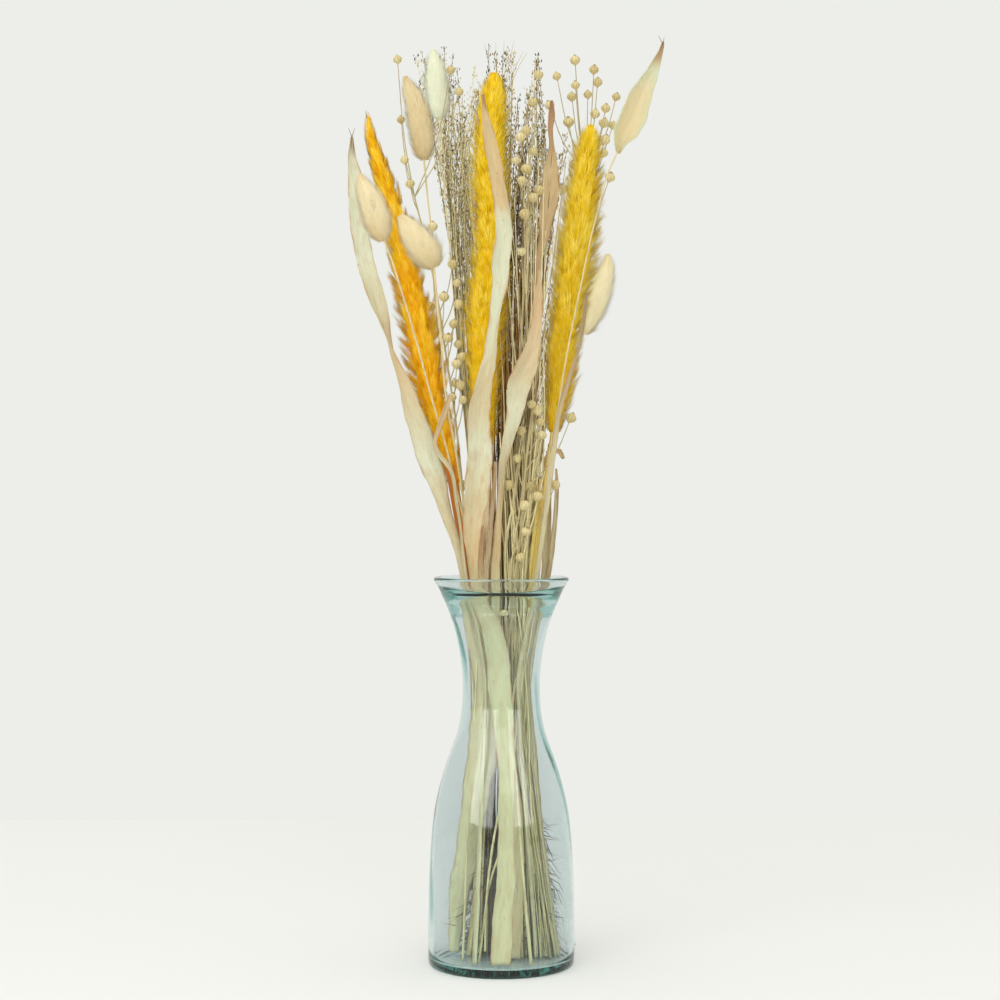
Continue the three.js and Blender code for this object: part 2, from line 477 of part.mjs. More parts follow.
place('flax_low', podSpray([
  [20, -20, 378, 0.7], [17, -22, 350, 0.8], [14, -22, 310, 0.9], [10, -19, 270, 0.9], [6, -12.8, 232, 0.9],
  [4.8, -11.6, 197, 0.9], [14, -8, 120, 0.9], [20, -4, FLOOR, 0.9],
], [
  [21, -19, 389], [25, -17, 385], [14, -17.5, 371], [27, -16, 377], [28, -20, 368], [20, -16.5, 333], [25, -22.5, 326],
  [16, -26, 320], [17, -26, 302], [13, -24, 284], [5, -16, 334], [11, -18, 352],
]), 'pod');

// Sprays of fine dark grass and the straws among them
place('grass_left', grassSpray([
  [-35, 26, 572, 0.8], [-31, 24, 542, 0.9], [-28, 20, 513, 1], [-25, 16, 477, 1.1], [-23, 12, 435, 1.1],
  [-19, 10, 379, 1.1], [-15, 8, 323, 1.1], [-11, 7, 270, 1.1], [-11, 6, 232, 1.1], [-11, 4.5, 197, 1.1],
  [-8, 11, 120, 1.1], [-7, 24, FLOOR, 1.1],
], [
  [-58, 43, 648], [-53, 43, 636], [-42, 17, 650], [-35, 31, 643], [-32, 20, 607], [-28, 36, 618], [-25, 30, 599],
  [-19, 28, 633], [-16, 34, 624], [-24, 22, 575], [-38, 20, 590], [-20, 30, 560],
], 61), 'olive');
place('grass_back', grassSpray([
  [-1, 22, 585, 0.8], [-2, 20, 540, 0.9], [-3, 16, 470, 1], [-3, 12, 400, 1], [-3, 9, 330, 1], [-3, 7, 270, 1],
  [-4, 6, 232, 1], [-4.5, 6, 197, 1], [-2, 12, 120, 1], [-2, 26, FLOOR, 1],
], [[-9, 20, 645], [-5, 27, 642], [1, 22, 640], [5, 30, 647], [7, 17, 636], [12, 22, 603]], 67), 'olive');
place('grass_right', grassSpray([
  [22, 20, 560, 0.8], [20, 18, 534, 0.9], [17, 16, 491, 1], [14, 14, 442, 1.1], [11, 12, 393, 1.1], [9, 10, 337, 1.1],
  [7, 9, 270, 1.1], [4, 8, 232, 1.1], [2, 7.5, 197, 1.1], [8, 14, 120, 1.1], [14, 28, FLOOR, 1.1],
], [
  [26, 24, 640], [22, 18, 616], [17, 30, 600], [28, 18, 597], [32, 32, 588], [46, 27, 584], [39, 38, 572], [16, 36, 578],
  [11, 24, 549], [30, 26, 540], [8, 20, 505], [22, 24, 500], [20, 20, 455],
], 71), 'olive');
place('straws', joined([
  stem([
    [29, 13, 548, 0.6], [26, 12, 470, 0.8], [21, 8, 400, 0.9], [17, 5, 350, 0.9], [13, 4, 300, 0.9], [11.5, 4, 270, 0.9],
    [8.5, 3.5, 232, 0.9], [6.5, 3.5, 197, 0.9], [11.5, 9, 120, 0.9], [20, 18, FLOOR, 0.9],
  ].map(fanned)),
  stem([
    [20, 9, 520, 0.6], [18, 8, 460, 0.6], [19, 7, 400, 0.6], [17, 5, 350, 0.6], [15, 4.4, 325, 0.6],
  ].map(fanned), TWIG_SIDES),
  stem([[35, 10, 500, 0.6], [31, 11, 470, 0.6], [24, 9, 420, 0.6], [19, 6.4, 375, 0.6]].map(fanned), TWIG_SIDES),
  stem([[11, 0, 420, 0.6], [12, 3, 380, 0.6], [16, 4.5, 335, 0.6]].map(fanned), TWIG_SIDES),
]), 'straw');

export default bouquet;
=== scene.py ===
# %% [markdown]
# # Dried flowers in a glass vase
#
# The construction model gives a vase and 27 dried stems as plain faceted solids. In this lesson each of
# them is dressed: the vase becomes smooth blue-green glass, the plumes and bunny tails grow fur, and the
# leaves get veins, dry edges and faded colours. Every new piece keeps the place and size of the solid that
# it stands for.

import math

import bpy
import numpy as np
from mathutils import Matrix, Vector


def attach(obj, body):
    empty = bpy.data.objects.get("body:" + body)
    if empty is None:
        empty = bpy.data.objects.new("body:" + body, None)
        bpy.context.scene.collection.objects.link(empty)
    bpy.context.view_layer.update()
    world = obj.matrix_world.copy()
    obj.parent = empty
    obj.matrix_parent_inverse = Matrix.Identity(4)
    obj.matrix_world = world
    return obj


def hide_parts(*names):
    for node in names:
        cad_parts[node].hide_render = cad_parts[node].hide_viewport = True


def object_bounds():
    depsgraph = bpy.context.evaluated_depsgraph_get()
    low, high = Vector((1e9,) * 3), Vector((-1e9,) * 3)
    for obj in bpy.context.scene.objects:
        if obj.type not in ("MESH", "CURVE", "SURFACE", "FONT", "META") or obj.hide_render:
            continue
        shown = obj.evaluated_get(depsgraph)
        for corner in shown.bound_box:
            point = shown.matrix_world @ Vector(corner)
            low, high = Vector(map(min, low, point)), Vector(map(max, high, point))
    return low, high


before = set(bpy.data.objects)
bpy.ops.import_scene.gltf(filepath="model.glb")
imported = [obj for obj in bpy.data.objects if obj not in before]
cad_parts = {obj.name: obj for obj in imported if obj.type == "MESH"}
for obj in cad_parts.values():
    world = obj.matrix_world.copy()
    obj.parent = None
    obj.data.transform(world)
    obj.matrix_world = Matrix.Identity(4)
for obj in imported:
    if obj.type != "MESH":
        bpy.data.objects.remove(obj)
cad_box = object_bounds()
print("nodes:", len(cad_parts), "height of the bouquet:", round(cad_box[1].z, 3), "m")

# %% [markdown]
# The real bouquet has no straight line in it. Each stem, leaf and plume follows a route, a list of rows
# that holds a point and a width in millimetres from the tip down to the foot. A smooth curve runs through
# the rows. These are the same routes and the same curve as in the construction model, so both models agree.

# %% Routes
MM = 0.001
FLOOR = 7.6
NECK = 197
VASE_HEIGHTS = (270, 232, NECK, 120, FLOOR)
FAN_START, FAN_HEIGHT, FAN_SHARE = 300, 350, 0.9


def into_vase(radius, *spots):
    """The foot of a route, from x and y at the rim, in the throat and neck, in the body and on the floor."""
    return [[x, y, z, radius] for (x, y), z in zip(spots, VASE_HEIGHTS)]


def fanned(rows):
    """Rows with their depth opened out above the fan's start, as the bouquet is."""
    rows = np.array(rows, float)
    rise = np.maximum(0, (rows[:, 2] - FAN_START) / FAN_HEIGHT)
    rows[:, 1] *= 1 + FAN_SHARE * rise
    return rows


def smooth(rows, u):
    """All columns of the route at places u, where 0 is the first row and 1 the second."""
    u = np.atleast_1d(u)
    padded = np.vstack([2 * rows[0] - rows[1], rows, 2 * rows[-1] - rows[-2]])
    i = np.clip(np.floor(u).astype(int), 0, len(rows) - 2)
    f = (u - i)[:, None]
    a, b, c, d = (padded[i + k] for k in range(4))
    return b + 0.5 * f * (c - a + f * (2 * a - 5 * b + 4 * c - d + f * (3 * (b - c) + d - a)))


def unit(v):
    """Vectors scaled to length 1."""
    return v / np.maximum(np.linalg.norm(v, axis=-1, keepdims=True), 1e-9)


def turned_along(centres):
    """Directions along, across and behind a line of points, where behind is as near to +Y as it can be."""
    run = unit(np.gradient(centres, axis=0))
    side = np.cross(run, (0, -1.0, 0))
    for k in range(1, len(side)):
        side[k] = side[k - 1] - run[k] * (side[k - 1] @ run[k])
    side = unit(side)
    return run, side, np.cross(run, side)


def even_places(rows, count):
    """Places along the route that lie an even distance apart, and the route's length."""
    fine = np.linspace(0, len(rows) - 1, 20 * len(rows))
    way = smooth(rows, fine)[:, :3]
    length = np.concatenate([[0], np.cumsum(np.linalg.norm(np.diff(way, axis=0), axis=1))])
    return np.interp(np.linspace(0, length[-1], count), length, fine), length[-1]


print("stems pass heights of", VASE_HEIGHTS, "mm in the vase")

# %% [markdown]
# Fur, pods and grass are hundreds of copies of one small shape. The shape is modelled once with Blender's
# primitives, its corners are read, and every copy is the same corners put somewhere else. All copies of one
# piece are written into one mesh, because thousands of objects would be slow. A hair's end that would stand
# outside the construction model's box is pulled back to it.

# %% Mesh helpers
BOX_LOW, BOX_HIGH = (np.array(corner) / MM for corner in cad_box)


def add(operator, name, **settings):
    """A new primitive, alone, active and named."""
    bpy.ops.object.select_all(action="DESELECT")
    operator(**settings)
    made = bpy.context.active_object
    made.name = made.data.name = name
    return made


def corners(shape):
    """A shape's corner points as an array."""
    points = np.empty(len(shape.data.vertices) * 3)
    shape.data.vertices.foreach_get("co", points)
    return points.reshape(-1, 3)


def moved(shape, points):
    """The shape with its corners put at new points."""
    shape.data.vertices.foreach_set("co", np.asarray(points, np.float32).ravel())
    shape.data.update()
    return shape


def shown(name, data):
    """A new object in the scene."""
    made = bpy.data.objects.new(name, data)
    bpy.context.scene.collection.objects.link(made)
    return made


def marked(mesh, mark, values):
    """Stores a value on each corner under a name that a material can read."""
    layer = mesh.attributes.get(mark) or mesh.attributes.new(mark, "FLOAT", "POINT")
    layer.data.foreach_set("value", np.asarray(values, np.float32).ravel())


def mould(shape):
    """Takes a modelled shape out of the scene and keeps its corners and faces, to be copied."""
    sides = [list(p.vertices) for p in shape.data.polygons]
    found = {"points": corners(shape), "faces": sides}
    bpy.data.objects.remove(shape)
    return found


def cast(name, pattern, placed, marks):
    """One mesh of all copies of a pattern. placed holds each copy's corner points in millimetres.

    A mark is a value for each copy, or a table with a column for each corner. The table has a row for each
    copy, or one row for all.
    """
    copies, each = placed.shape[:2]
    placed = np.clip(placed, BOX_LOW, BOX_HIGH)
    sizes = [len(f) for f in pattern["faces"]]
    flat = np.concatenate([np.array(f) for f in pattern["faces"]])
    loops = (flat[None, :] + each * np.arange(copies)[:, None]).ravel()
    starts = np.concatenate([[0], np.cumsum(np.tile(sizes, copies))[:-1]])
    mesh = bpy.data.meshes.new(name)
    mesh.vertices.add(copies * each)
    mesh.vertices.foreach_set("co", (placed * MM).astype(np.float32).ravel())
    mesh.loops.add(len(loops))
    mesh.loops.foreach_set("vertex_index", loops.astype(np.int32))
    mesh.polygons.add(copies * len(sizes))
    mesh.polygons.foreach_set("loop_start", starts.astype(np.int32))
    mesh.update(calc_edges=True)
    for mark, values in marks.items():
        table = np.asarray(values, float)
        table = table[:, None] if table.ndim == 1 else table
        marked(mesh, mark, np.broadcast_to(table, (copies, each)))
    return shown(name, mesh)


print("hairs stay inside", BOX_LOW.round(1), "to", BOX_HIGH.round(1), "mm")

# %% [markdown]
# A finished piece gets its material and smooth shading, and it is told what it stands for: it rides on the
# construction model's only body and replaces one of its nodes.

# %% Finishing a piece
def together(name, parts):
    """Several meshes joined into one piece, each with the material it already has."""
    bpy.ops.object.select_all(action="DESELECT")
    for part in parts:
        part.select_set(True)
    bpy.context.view_layer.objects.active = parts[0]
    bpy.ops.object.join()
    parts[0].name = parts[0].data.name = name
    return parts[0]


def coloured(part, finish):
    """The part with one material."""
    part.data.materials.clear()
    part.data.materials.append(finish)
    return part


def dressed(piece, node):
    """Shades a finished piece smooth and lets it stand for its construction node."""
    piece.data.polygons.foreach_set("use_smooth", [True] * len(piece.data.polygons))
    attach(piece, "root")
    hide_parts(node)
    triangles = sum(len(p.vertices) - 2 for p in piece.data.polygons)
    print(f"{piece.name}: {triangles} triangles")
    return piece

# %% [markdown]
# A stem is a thin rod. A circle is added, filled, and pushed up ring by ring with the extrude operator,
# which leaves it closed at both ends. The finished rod is then laid along any route, thick or thin.

# %% Rods
def rod_mould(sides, rings):
    """A closed rod of radius 1 and height 1 with the given number of sides and rings."""
    rod = add(bpy.ops.mesh.primitive_circle_add, "rod", vertices=sides, radius=1, fill_type="NGON")
    bpy.ops.object.mode_set(mode="EDIT")
    bpy.ops.mesh.select_all(action="SELECT")
    for _ in range(rings - 1):
        bpy.ops.mesh.extrude_region_move(TRANSFORM_OT_translate={"value": (0, 0, 1 / (rings - 1))})
    bpy.ops.mesh.select_all(action="SELECT")
    bpy.ops.mesh.normals_make_consistent(inside=False)
    bpy.ops.object.mode_set(mode="OBJECT")
    return mould(rod)


rod_moulds = {}


def rods(name, ways, sides, rings, **marks):
    """Rods laid along ways. Each way is rows of x, y, z and radius. Marks are one value for each way."""
    if (sides, rings) not in rod_moulds:
        rod_moulds[sides, rings] = rod_mould(sides, rings)
    pattern = rod_moulds[sides, rings]
    points = pattern["points"]
    ring = np.rint(points[:, 2] * (rings - 1)).astype(int)
    placed = []
    for way in ways:
        way = np.asarray(way, float)
        rows = smooth(way, even_places(way, rings)[0])
        _, side, back = turned_along(rows[:, :3])
        radius = rows[ring, 3:4]
        placed.append(rows[ring, :3] + radius * (points[:, :1] * side[ring] + points[:, 1:2] * back[ring]))
    return cast(name, pattern, np.array(placed), {"along": (ring / (rings - 1))[None, :], **marks})


print("a rod with 6 sides and 10 rings has", len(rod_mould(6, 10)["faces"]), "faces")

# %% [markdown]
# Materials are node trees. Written node by node they are hard to read, so a small class wraps a socket:
# adding, subtracting or multiplying two wrapped sockets puts down the Math node. Other nodes come from one
# method that takes the node's type, its settings and what goes into its sockets.

# %% Shader helper
def fill_ramp(ramp, blend, stops):
    """Gives a colour ramp its stops, pairs of a place and a colour."""
    ramp.interpolation = blend
    while len(ramp.elements) < len(stops):
        ramp.elements.new(0.5)
    for element, (at, colour) in zip(ramp.elements, stops):
        element.position = at
        element.color = colour


def plug(tree, slot, value):
    """Links a wire to a socket, or sets the socket's own value."""
    if isinstance(value, Wire):
        tree.links.new(value.socket, slot)
    else:
        slot.default_value = value


def put(tree, kind, settings, sockets, out=0):
    """A new node: first its settings, then the values or links of its sockets. Gives one output."""
    node = tree.nodes.new(kind)
    for name, value in (settings or {}).items():
        if name == "stops":
            fill_ramp(node.color_ramp, *value)
        else:
            setattr(node, name, value)
    for slot, value in sockets.items():
        plug(tree, node.inputs[slot], value)
    return Wire(tree, node.outputs[out])


class Wire:
    """An output socket of a node tree, with arithmetic."""

    def __init__(self, tree, socket):
        self.tree = tree
        self.socket = socket

    def maths(self, operation, *values):
        """A Math node."""
        return put(self.tree, "ShaderNodeMath", {"operation": operation}, dict(enumerate(values)))

    def __add__(self, other):
        return self.maths("ADD", self, other)

    def __radd__(self, other):
        return self.maths("ADD", other, self)

    def __sub__(self, other):
        return self.maths("SUBTRACT", self, other)

    def __rsub__(self, other):
        return self.maths("SUBTRACT", other, self)

    def __mul__(self, other):
        return self.maths("MULTIPLY", self, other)

    def __rmul__(self, other):
        return self.maths("MULTIPLY", other, self)

    def between(self, low, high):
        """0 at low, 1 at high, and straight between."""
        return put(self.tree, "ShaderNodeMapRange", None, {"Value": self, "From Min": low, "From Max": high})


class Nodes:
    """A node tree and the tools to draw it."""

    def __init__(self, tree):
        self.tree = tree

    def into(self, node, **sockets):
        """Fills sockets of a node that is already there."""
        for name, value in sockets.items():
            plug(self.tree, node.inputs[name.replace("_", " ")], value)

    def node(self, kind, settings=None, out=0, **sockets):
        """A new node, with its sockets given by name."""
        sockets = {name.replace("_", " "): value for name, value in sockets.items()}
        return put(self.tree, kind, settings, sockets, out)

    def mix(self, share, a, b):
        """Two colours mixed. The colour sockets of a Mix node are 6 and 7 and its colour output is 2."""
        return put(self.tree, "ShaderNodeMix", {"data_type": "RGBA"}, {0: share, 6: a, 7: b}, 2)

# %% [markdown]
# A finish is a new material. It can read the marks stored on a piece, the point on it and noise, and it
# ends by putting a colour, and a relief if there is one, on the surface.

# %% Finishes
class Finish(Nodes):
    """A new material."""

    def __init__(self, name, **principled):
        self.material = bpy.data.materials.new(name)
        self.material.use_nodes = True
        super().__init__(self.material.node_tree)
        self.surface = self.tree.nodes["Principled BSDF"]
        self.into(self.surface, **principled)

    def mark(self, name):
        """A value stored on the piece's corners."""
        return self.node("ShaderNodeAttribute", {"attribute_name": name}, out="Fac")

    def place(self):
        """The point on the piece, in metres."""
        return self.node("ShaderNodeTexCoord", out="Object")

    def noise(self, where, scale, detail=3.0, rough=0.5):
        """Noise around 0.5, finer with a higher scale."""
        return self.node("ShaderNodeTexNoise", Vector=where, Scale=scale, Detail=detail, Roughness=rough)

    def ramp(self, value, stops, blend="LINEAR"):
        """A colour ramp: stops are pairs of a place and a colour."""
        return put(self.tree, "ShaderNodeValToRGB", {"stops": (blend, stops)}, {0: value})

    def paint(self, colour, bump=None, distance=0.0004, strength=0.5):
        """Puts a colour, and a relief if there is one, on the surface."""
        self.into(self.surface, Base_Color=colour)
        if bump:
            relief = self.node("ShaderNodeBump", Height=bump, Distance=distance, Strength=strength)
            self.into(self.surface, Normal=relief)
        return self.material


def rgb(red, green_and_shade, blue):
    """A colour as it looks on a screen, from 0 to 255, for Blender's linear sockets."""
    share = np.array([red, green_and_shade, blue]) / 255
    return (*np.where(share <= 0.04045, share / 12.92, ((share + 0.055) / 1.055) ** 2.4), 1.0)


print("half the screen's brightness is", round(float(rgb(128, 128, 128)[0]), 3), "of the light")

# %% [markdown]
# Light comes first, so that every finish can be judged in it. The flowers stand on a sheet of pale paper
# that ends 0.7 m behind the vase. The room round them is a world of even light. Its back half is as bright
# as a white wall, a little darker than the paper. Its front half is brighter above than at the sides, so
# the edges of the glass reflect something darker and stand out from the wall.

# %% Room
FLOOR_WIDE = 40.0
FLOOR_FRONT, FLOOR_BACK = -20.0, 0.688
SIDE_GLOW, TOP_GLOW = 0.48, 1.1
WALL_GLOW = 0.855

paper = add(bpy.ops.mesh.primitive_plane_add, "floor", size=2)
flat = corners(paper)
depth = np.interp(flat[:, 1], [-1, 1], [FLOOR_FRONT, FLOOR_BACK])
moved(paper, np.column_stack([flat[:, 0] * FLOOR_WIDE / 2, depth, flat[:, 2]]))
sheet = Finish("paper", Roughness=0.9, Specular_IOR_Level=0.0)
drift = sheet.noise(sheet.place(), 3, 2)
coloured(paper, sheet.paint(sheet.mix(drift, rgb(240, 239, 235), rgb(237, 237, 233))))
print("paper from", FLOOR_FRONT, "to", FLOOR_BACK, "m")

world = bpy.data.worlds.new("room")
bpy.context.scene.world = world
world.use_nodes = True
room = Nodes(world.node_tree)
toward = room.node("ShaderNodeTexCoord", out="Generated")
upward = room.node("ShaderNodeSeparateXYZ", out="Z", Vector=toward).between(0.0, 0.85)
behind = room.node("ShaderNodeSeparateXYZ", out="Y", Vector=toward).between(-0.1, 0.3)
around = SIDE_GLOW + upward * (TOP_GLOW - SIDE_GLOW)
room.into(world.node_tree.nodes["Background"], Strength=around + (WALL_GLOW - around) * behind,
          Color=room.mix(behind, (0.985, 0.99, 1.0, 1.0), (0.99, 1.0, 0.955, 1.0)))

# %% [markdown]
# Two windows of two panes each show as white bars on the shoulder of the vase. The panes are made bright
# enough for that and are kept out of the diffuse light, which comes from one wide soft lamp above the
# camera instead. That lamp in turn doesn't show in the glass, and no lamp shows itself to the camera.

# %% Windows
WINDOW_AWAY = 1.9
WINDOW_MIDDLE = 1.35
WINDOW_HIGH = 2.1
WINDOW_GLOW = 3.1
PANES = [(-55, -37), (-30, -14), (20, 33), (40, 56)]
SOFT_PLACE = (-0.5, -1.85, 1.7)
SOFT_WIDE, SOFT_HIGH = 2.8, 1.6
SOFT_GLOW = 1.58


def lamp(name, place, wide, high, glow, aim):
    """A rectangular lamp that faces a point. Glow is the brightness of its face."""
    light = bpy.data.lights.new(name, "AREA")
    light.shape = "RECTANGLE"
    light.size, light.size_y = wide, high
    light.energy = glow * math.pi * wide * high
    light.color = (1.0, 0.995, 0.985)
    made = shown(name, light)
    made.location = place
    made.visible_camera = False
    made.rotation_euler = (Vector(aim) - Vector(place)).to_track_quat("-Z", "Y").to_euler()
    return made


for number, (start, end) in enumerate(PANES):
    middle = math.radians((start + end) / 2)
    wide = 2 * WINDOW_AWAY * math.tan(math.radians(end - start) / 2)
    place = (WINDOW_AWAY * math.sin(middle), -WINDOW_AWAY * math.cos(middle), WINDOW_MIDDLE)
    pane = lamp(f"pane_{number}", place, wide, WINDOW_HIGH, WINDOW_GLOW, (0, 0, WINDOW_MIDDLE))
    pane.visible_diffuse = False
daylight = lamp("daylight", SOFT_PLACE, SOFT_WIDE, SOFT_HIGH, SOFT_GLOW, (0, 0, 0.3))
daylight.visible_glossy = False
print(len(PANES), "panes,", WINDOW_AWAY, "m away")

# %% [markdown]
# The camera stands where the photographer stood, 1.6 m in front of the vase and a little above its rim. Its
# lens is as long as the photograph's proportions say: the focal length is 2.3 times the width of the
# sensor. Seen from there, light passes four surfaces of clear glass and turns back and forth in the thick
# rim and base. Blender gives up after 12 bounces and leaves such places black, so here it may follow the
# light for longer.

# %% Camera
CAMERA_AWAY = 1.602
CAMERA_HEIGHT = 0.3365
FOCAL_SHARE = 2.307
SENSOR = 36
TILT = 0.019 / FOCAL_SHARE
SHIFT = -0.0013
LIGHT_BOUNCES = 32

camera = bpy.data.cameras.new("camera")
camera.sensor_width = SENSOR
camera.lens = FOCAL_SHARE * SENSOR
camera.shift_x = SHIFT
viewer = shown("camera", camera)
viewer.location = (0, -CAMERA_AWAY, CAMERA_HEIGHT)
viewer.rotation_euler = (math.pi / 2 - TILT, 0, 0)
bpy.context.scene.camera = viewer
bpy.context.scene.view_settings.view_transform = "Standard"
for bounces in ("max_bounces", "transmission_bounces", "glossy_bounces"):
    setattr(bpy.context.scene.cycles, bounces, LIGHT_BOUNCES)
print("camera lens", round(camera.lens, 1), "mm")

# %% [markdown]
# The vase was blown into a mould and is turned round its axis, so its section is drawn once and spun. The
# glass is about 3 mm thick on the sides and thicker in the base and in the collar under the rim, where its
# blue-green tint gathers. A tint inside the glass, not on it, gives that by itself.

# %% Vase section
VASE_WALL = 3.2
VASE_BASE = 5.6
VASE_SPIN_STEPS = 96
COLLAR_AT = 254.5
COLLAR_THICK = 5.6
COLLAR_ABOVE, COLLAR_BELOW = 9.5, 6.5
INNER_START = VASE_BASE + 5
SIDE_POINTS = 90
side_rows = np.array([
    (50.8, 4), (51, 25), (50, 66), (47.8, 98), (44.3, 119), (38.4, 140), (31.3, 160), (28.2, 174),
    (27.1, 187), (27.2, 203), (29.9, 223), (35.3, 243), (43.8, 263),
], float)


def arc(centre, radius, start, end, count):
    """Points on an arc of the section, as radius and height."""
    turns = np.radians(np.linspace(start, end, count))
    return [(centre[0] + radius * math.cos(t), centre[1] + radius * math.sin(t)) for t in turns]


outer = [tuple(p) for p in smooth(side_rows, np.linspace(0, len(side_rows) - 1, SIDE_POINTS))]
inner = []
for radius, height in outer:
    if height > INNER_START:
        reach = COLLAR_ABOVE if height > COLLAR_AT else COLLAR_BELOW
        collar = COLLAR_THICK * math.exp(-((height - COLLAR_AT) / reach) ** 2)
        inner.append((radius - VASE_WALL - collar, height))
section = [(0, 1.2), (38, 1.0), (42, 0.05), (46, 0.05)]
section += arc((46.8, 4), 4, -80, -20, 5)
section += outer[1:-1]
section += [(45.6, 266)] + arc((45.1, 268), 1.95, -10, 170, 9) + [(41.6, 263.5)]
section += inner[::-1][1:]
section += arc((43.9, 9.4), 3.8, 0, -80, 6)[1:]
section += [(36, VASE_BASE + 0.3), (20, VASE_BASE + 1.5), (0, VASE_BASE + 2.2)]
print("the section has", len(section), "points")

# %% [markdown]
# The section starts as a single point. It grows edge by edge with the extrude operator, and the spin
# operator then sweeps it round the Z axis. Points that meet on the axis and at the seam are merged.

# %% Vase body
vase = add(bpy.ops.mesh.primitive_plane_add, "glass_vase", size=1)
bpy.ops.object.mode_set(mode="EDIT")
bpy.ops.mesh.select_all(action="SELECT")
bpy.ops.mesh.merge(type="CENTER")
bpy.ops.transform.translate(value=(section[0][0] * MM, 0, section[0][1] * MM))
for before, after in zip(section, section[1:]):
    step = ((after[0] - before[0]) * MM, 0, (after[1] - before[1]) * MM)
    bpy.ops.mesh.extrude_region_move(TRANSFORM_OT_translate={"value": step})
bpy.ops.mesh.select_all(action="SELECT")
bpy.ops.mesh.spin(steps=VASE_SPIN_STEPS, angle=2 * math.pi, center=(0, 0, 0), axis=(0, 0, 1))
bpy.ops.mesh.select_all(action="SELECT")
bpy.ops.mesh.remove_doubles(threshold=2e-5)
bpy.ops.mesh.normals_make_consistent(inside=False)
bpy.ops.object.mode_set(mode="OBJECT")
print("the vase has", len(vase.data.polygons), "faces")

# %% [markdown]
# Recycled glass is never perfectly even. The inner wall is moved in and out by less than half a millimetre
# in long upright ripples, which is enough to bend what is seen through it, as in the photograph.

# %% Ripples in the glass
RIPPLE_FROM, RIPPLE_TO = VASE_BASE + 8, 262
points = corners(vase) / MM
radius = np.hypot(points[:, 0], points[:, 1])
turn = np.arctan2(points[:, 1], points[:, 0])
height = points[:, 2]
outer_radius = np.interp(height, [z for _, z in outer], [r for r, _ in outer])
on_wall = (radius < outer_radius - 1.5) & (radius > 15)
inside = on_wall & (height > RIPPLE_FROM) & (height < RIPPLE_TO)
ripple = 0.22 * np.sin(7 * turn + height / 31) + 0.16 * np.sin(3 * turn - height / 47 + 1) \
    + 0.1 * np.sin(height / 9 + 2 * turn)
fade = np.clip((height - RIPPLE_FROM) / 20, 0, 1) * np.clip((RIPPLE_TO - height) / 12, 0, 1)
points[:, :2] *= np.where(inside, (radius + ripple * fade) / np.maximum(radius, 1), 1)[:, None]
moved(vase, points * MM)
print("ripples of up to", round(float(np.abs(ripple * fade)[inside].max()), 2), "mm")

# %% [markdown]
# Glass lets light through, so its shader only needs the transmission weight and a low roughness. The colour
# comes from a volume that takes away red light along the way, which is why the thick base looks darkest.
# Real glass throws a bright shadow, which takes very many samples to render, so the vase throws none.

# %% Glass
glass = Finish("blue green glass", Base_Color=(0.885, 0.89, 0.9, 1), Roughness=0.015, IOR=1.5,
               Transmission_Weight=1.0)
tint = glass.node("ShaderNodeVolumeAbsorption", Color=(0.06, 0.56, 0.5, 1), Density=34.0)
glass.into(glass.tree.nodes["Material Output"], Volume=tint)
dressed(coloured(vase, glass.material), "vase").visible_shadow = False

# %% [markdown]
# A plume is a long head of fine dyed hair. A real one has tens of thousands of hairs that all leave the
# stalk slanting upwards and cling together in small tufts. Each hair here is a thin spindle of six faces,
# made once from a three-sided cone whose base is drawn down to a point. Copied with its flat side outwards,
# it covers more than a round one would. A core in the deep root colour, painted shade, closes the gaps
# between the hairs.

# %% One hair
def pointed_mould(name, sides, waist):
    """A closed spindle from 0 to 1 with points at both ends, and its widest ring at the waist."""
    spindle = add(bpy.ops.mesh.primitive_cone_add, name, vertices=sides, radius1=1, radius2=0,
                  depth=1 - waist, location=(0, 0, (1 + waist) / 2), end_fill_type="NGON")
    bpy.ops.object.transform_apply(location=True, rotation=False, scale=False)
    bpy.ops.object.mode_set(mode="EDIT")
    bpy.ops.mesh.select_mode(type="FACE")
    bpy.ops.mesh.select_all(action="DESELECT")
    bpy.ops.object.mode_set(mode="OBJECT")
    for face in spindle.data.polygons:
        face.select = face.normal.z < -0.9
    bpy.ops.object.mode_set(mode="EDIT")
    bpy.ops.mesh.extrude_region_move(TRANSFORM_OT_translate={"value": (0, 0, -waist)})
    bpy.ops.mesh.merge(type="CENTER")
    bpy.ops.mesh.select_all(action="SELECT")
    bpy.ops.mesh.normals_make_consistent(inside=False)
    bpy.ops.object.mode_set(mode="OBJECT")
    return mould(spindle)


hair = pointed_mould("hair", 3, 0.45)
print("a hair has", len(hair["points"]), "corners and", len(hair["faces"]), "faces")


def sticks(name, pattern, roots, middles, tips, thick, facing=(0.3, 0.9, 0.2), flat=1.0, **marks):
    """Copies of a thin upright pattern, each bent through its root, middle and tip.

    Each turns one side to where it is facing, and flat makes it thinner that way.
    """
    ups = unit(tips - roots)
    across = unit(np.cross(ups, facing))
    behind = np.cross(ups, across) * flat
    shape = pattern["points"]
    t = shape[None, :, 2:]
    girth = np.reshape(thick, (-1, 1, 1))
    placed = roots[:, None] * (1 - t) * (1 - 2 * t) + middles[:, None] * 4 * t * (1 - t)
    placed = placed + tips[:, None] * t * (2 * t - 1)
    placed = placed + girth * (shape[None, :, :1] * across[:, None] + shape[None, :, 1:2] * behind[:, None])
    return cast(name, pattern, placed, {"along": shape[None, :, 2], **marks})

# %% [markdown]
# The tips of the hairs lie on the head's outline and their roots lie lower down on the core, so the coat
# always fills the outline. Some hairs are leaders: the hairs nearest to a leader lean towards it and share
# its length and colour, which gives tufts of uneven size, as in a real plume. Light goes deep into real
# fur, so a hair isn't shaded as a rod: its corners get normals that point out from the head, and the head
# looks soft.

# %% Coat of hair
COAT_RINGS = 300
# The core's tone on the fur's ramp: deep, as painted shade between the hairs.
CORE_SHADE_TONE = 0.15
HAIR_FLAT = 0.35
AT_ONCE = 4000


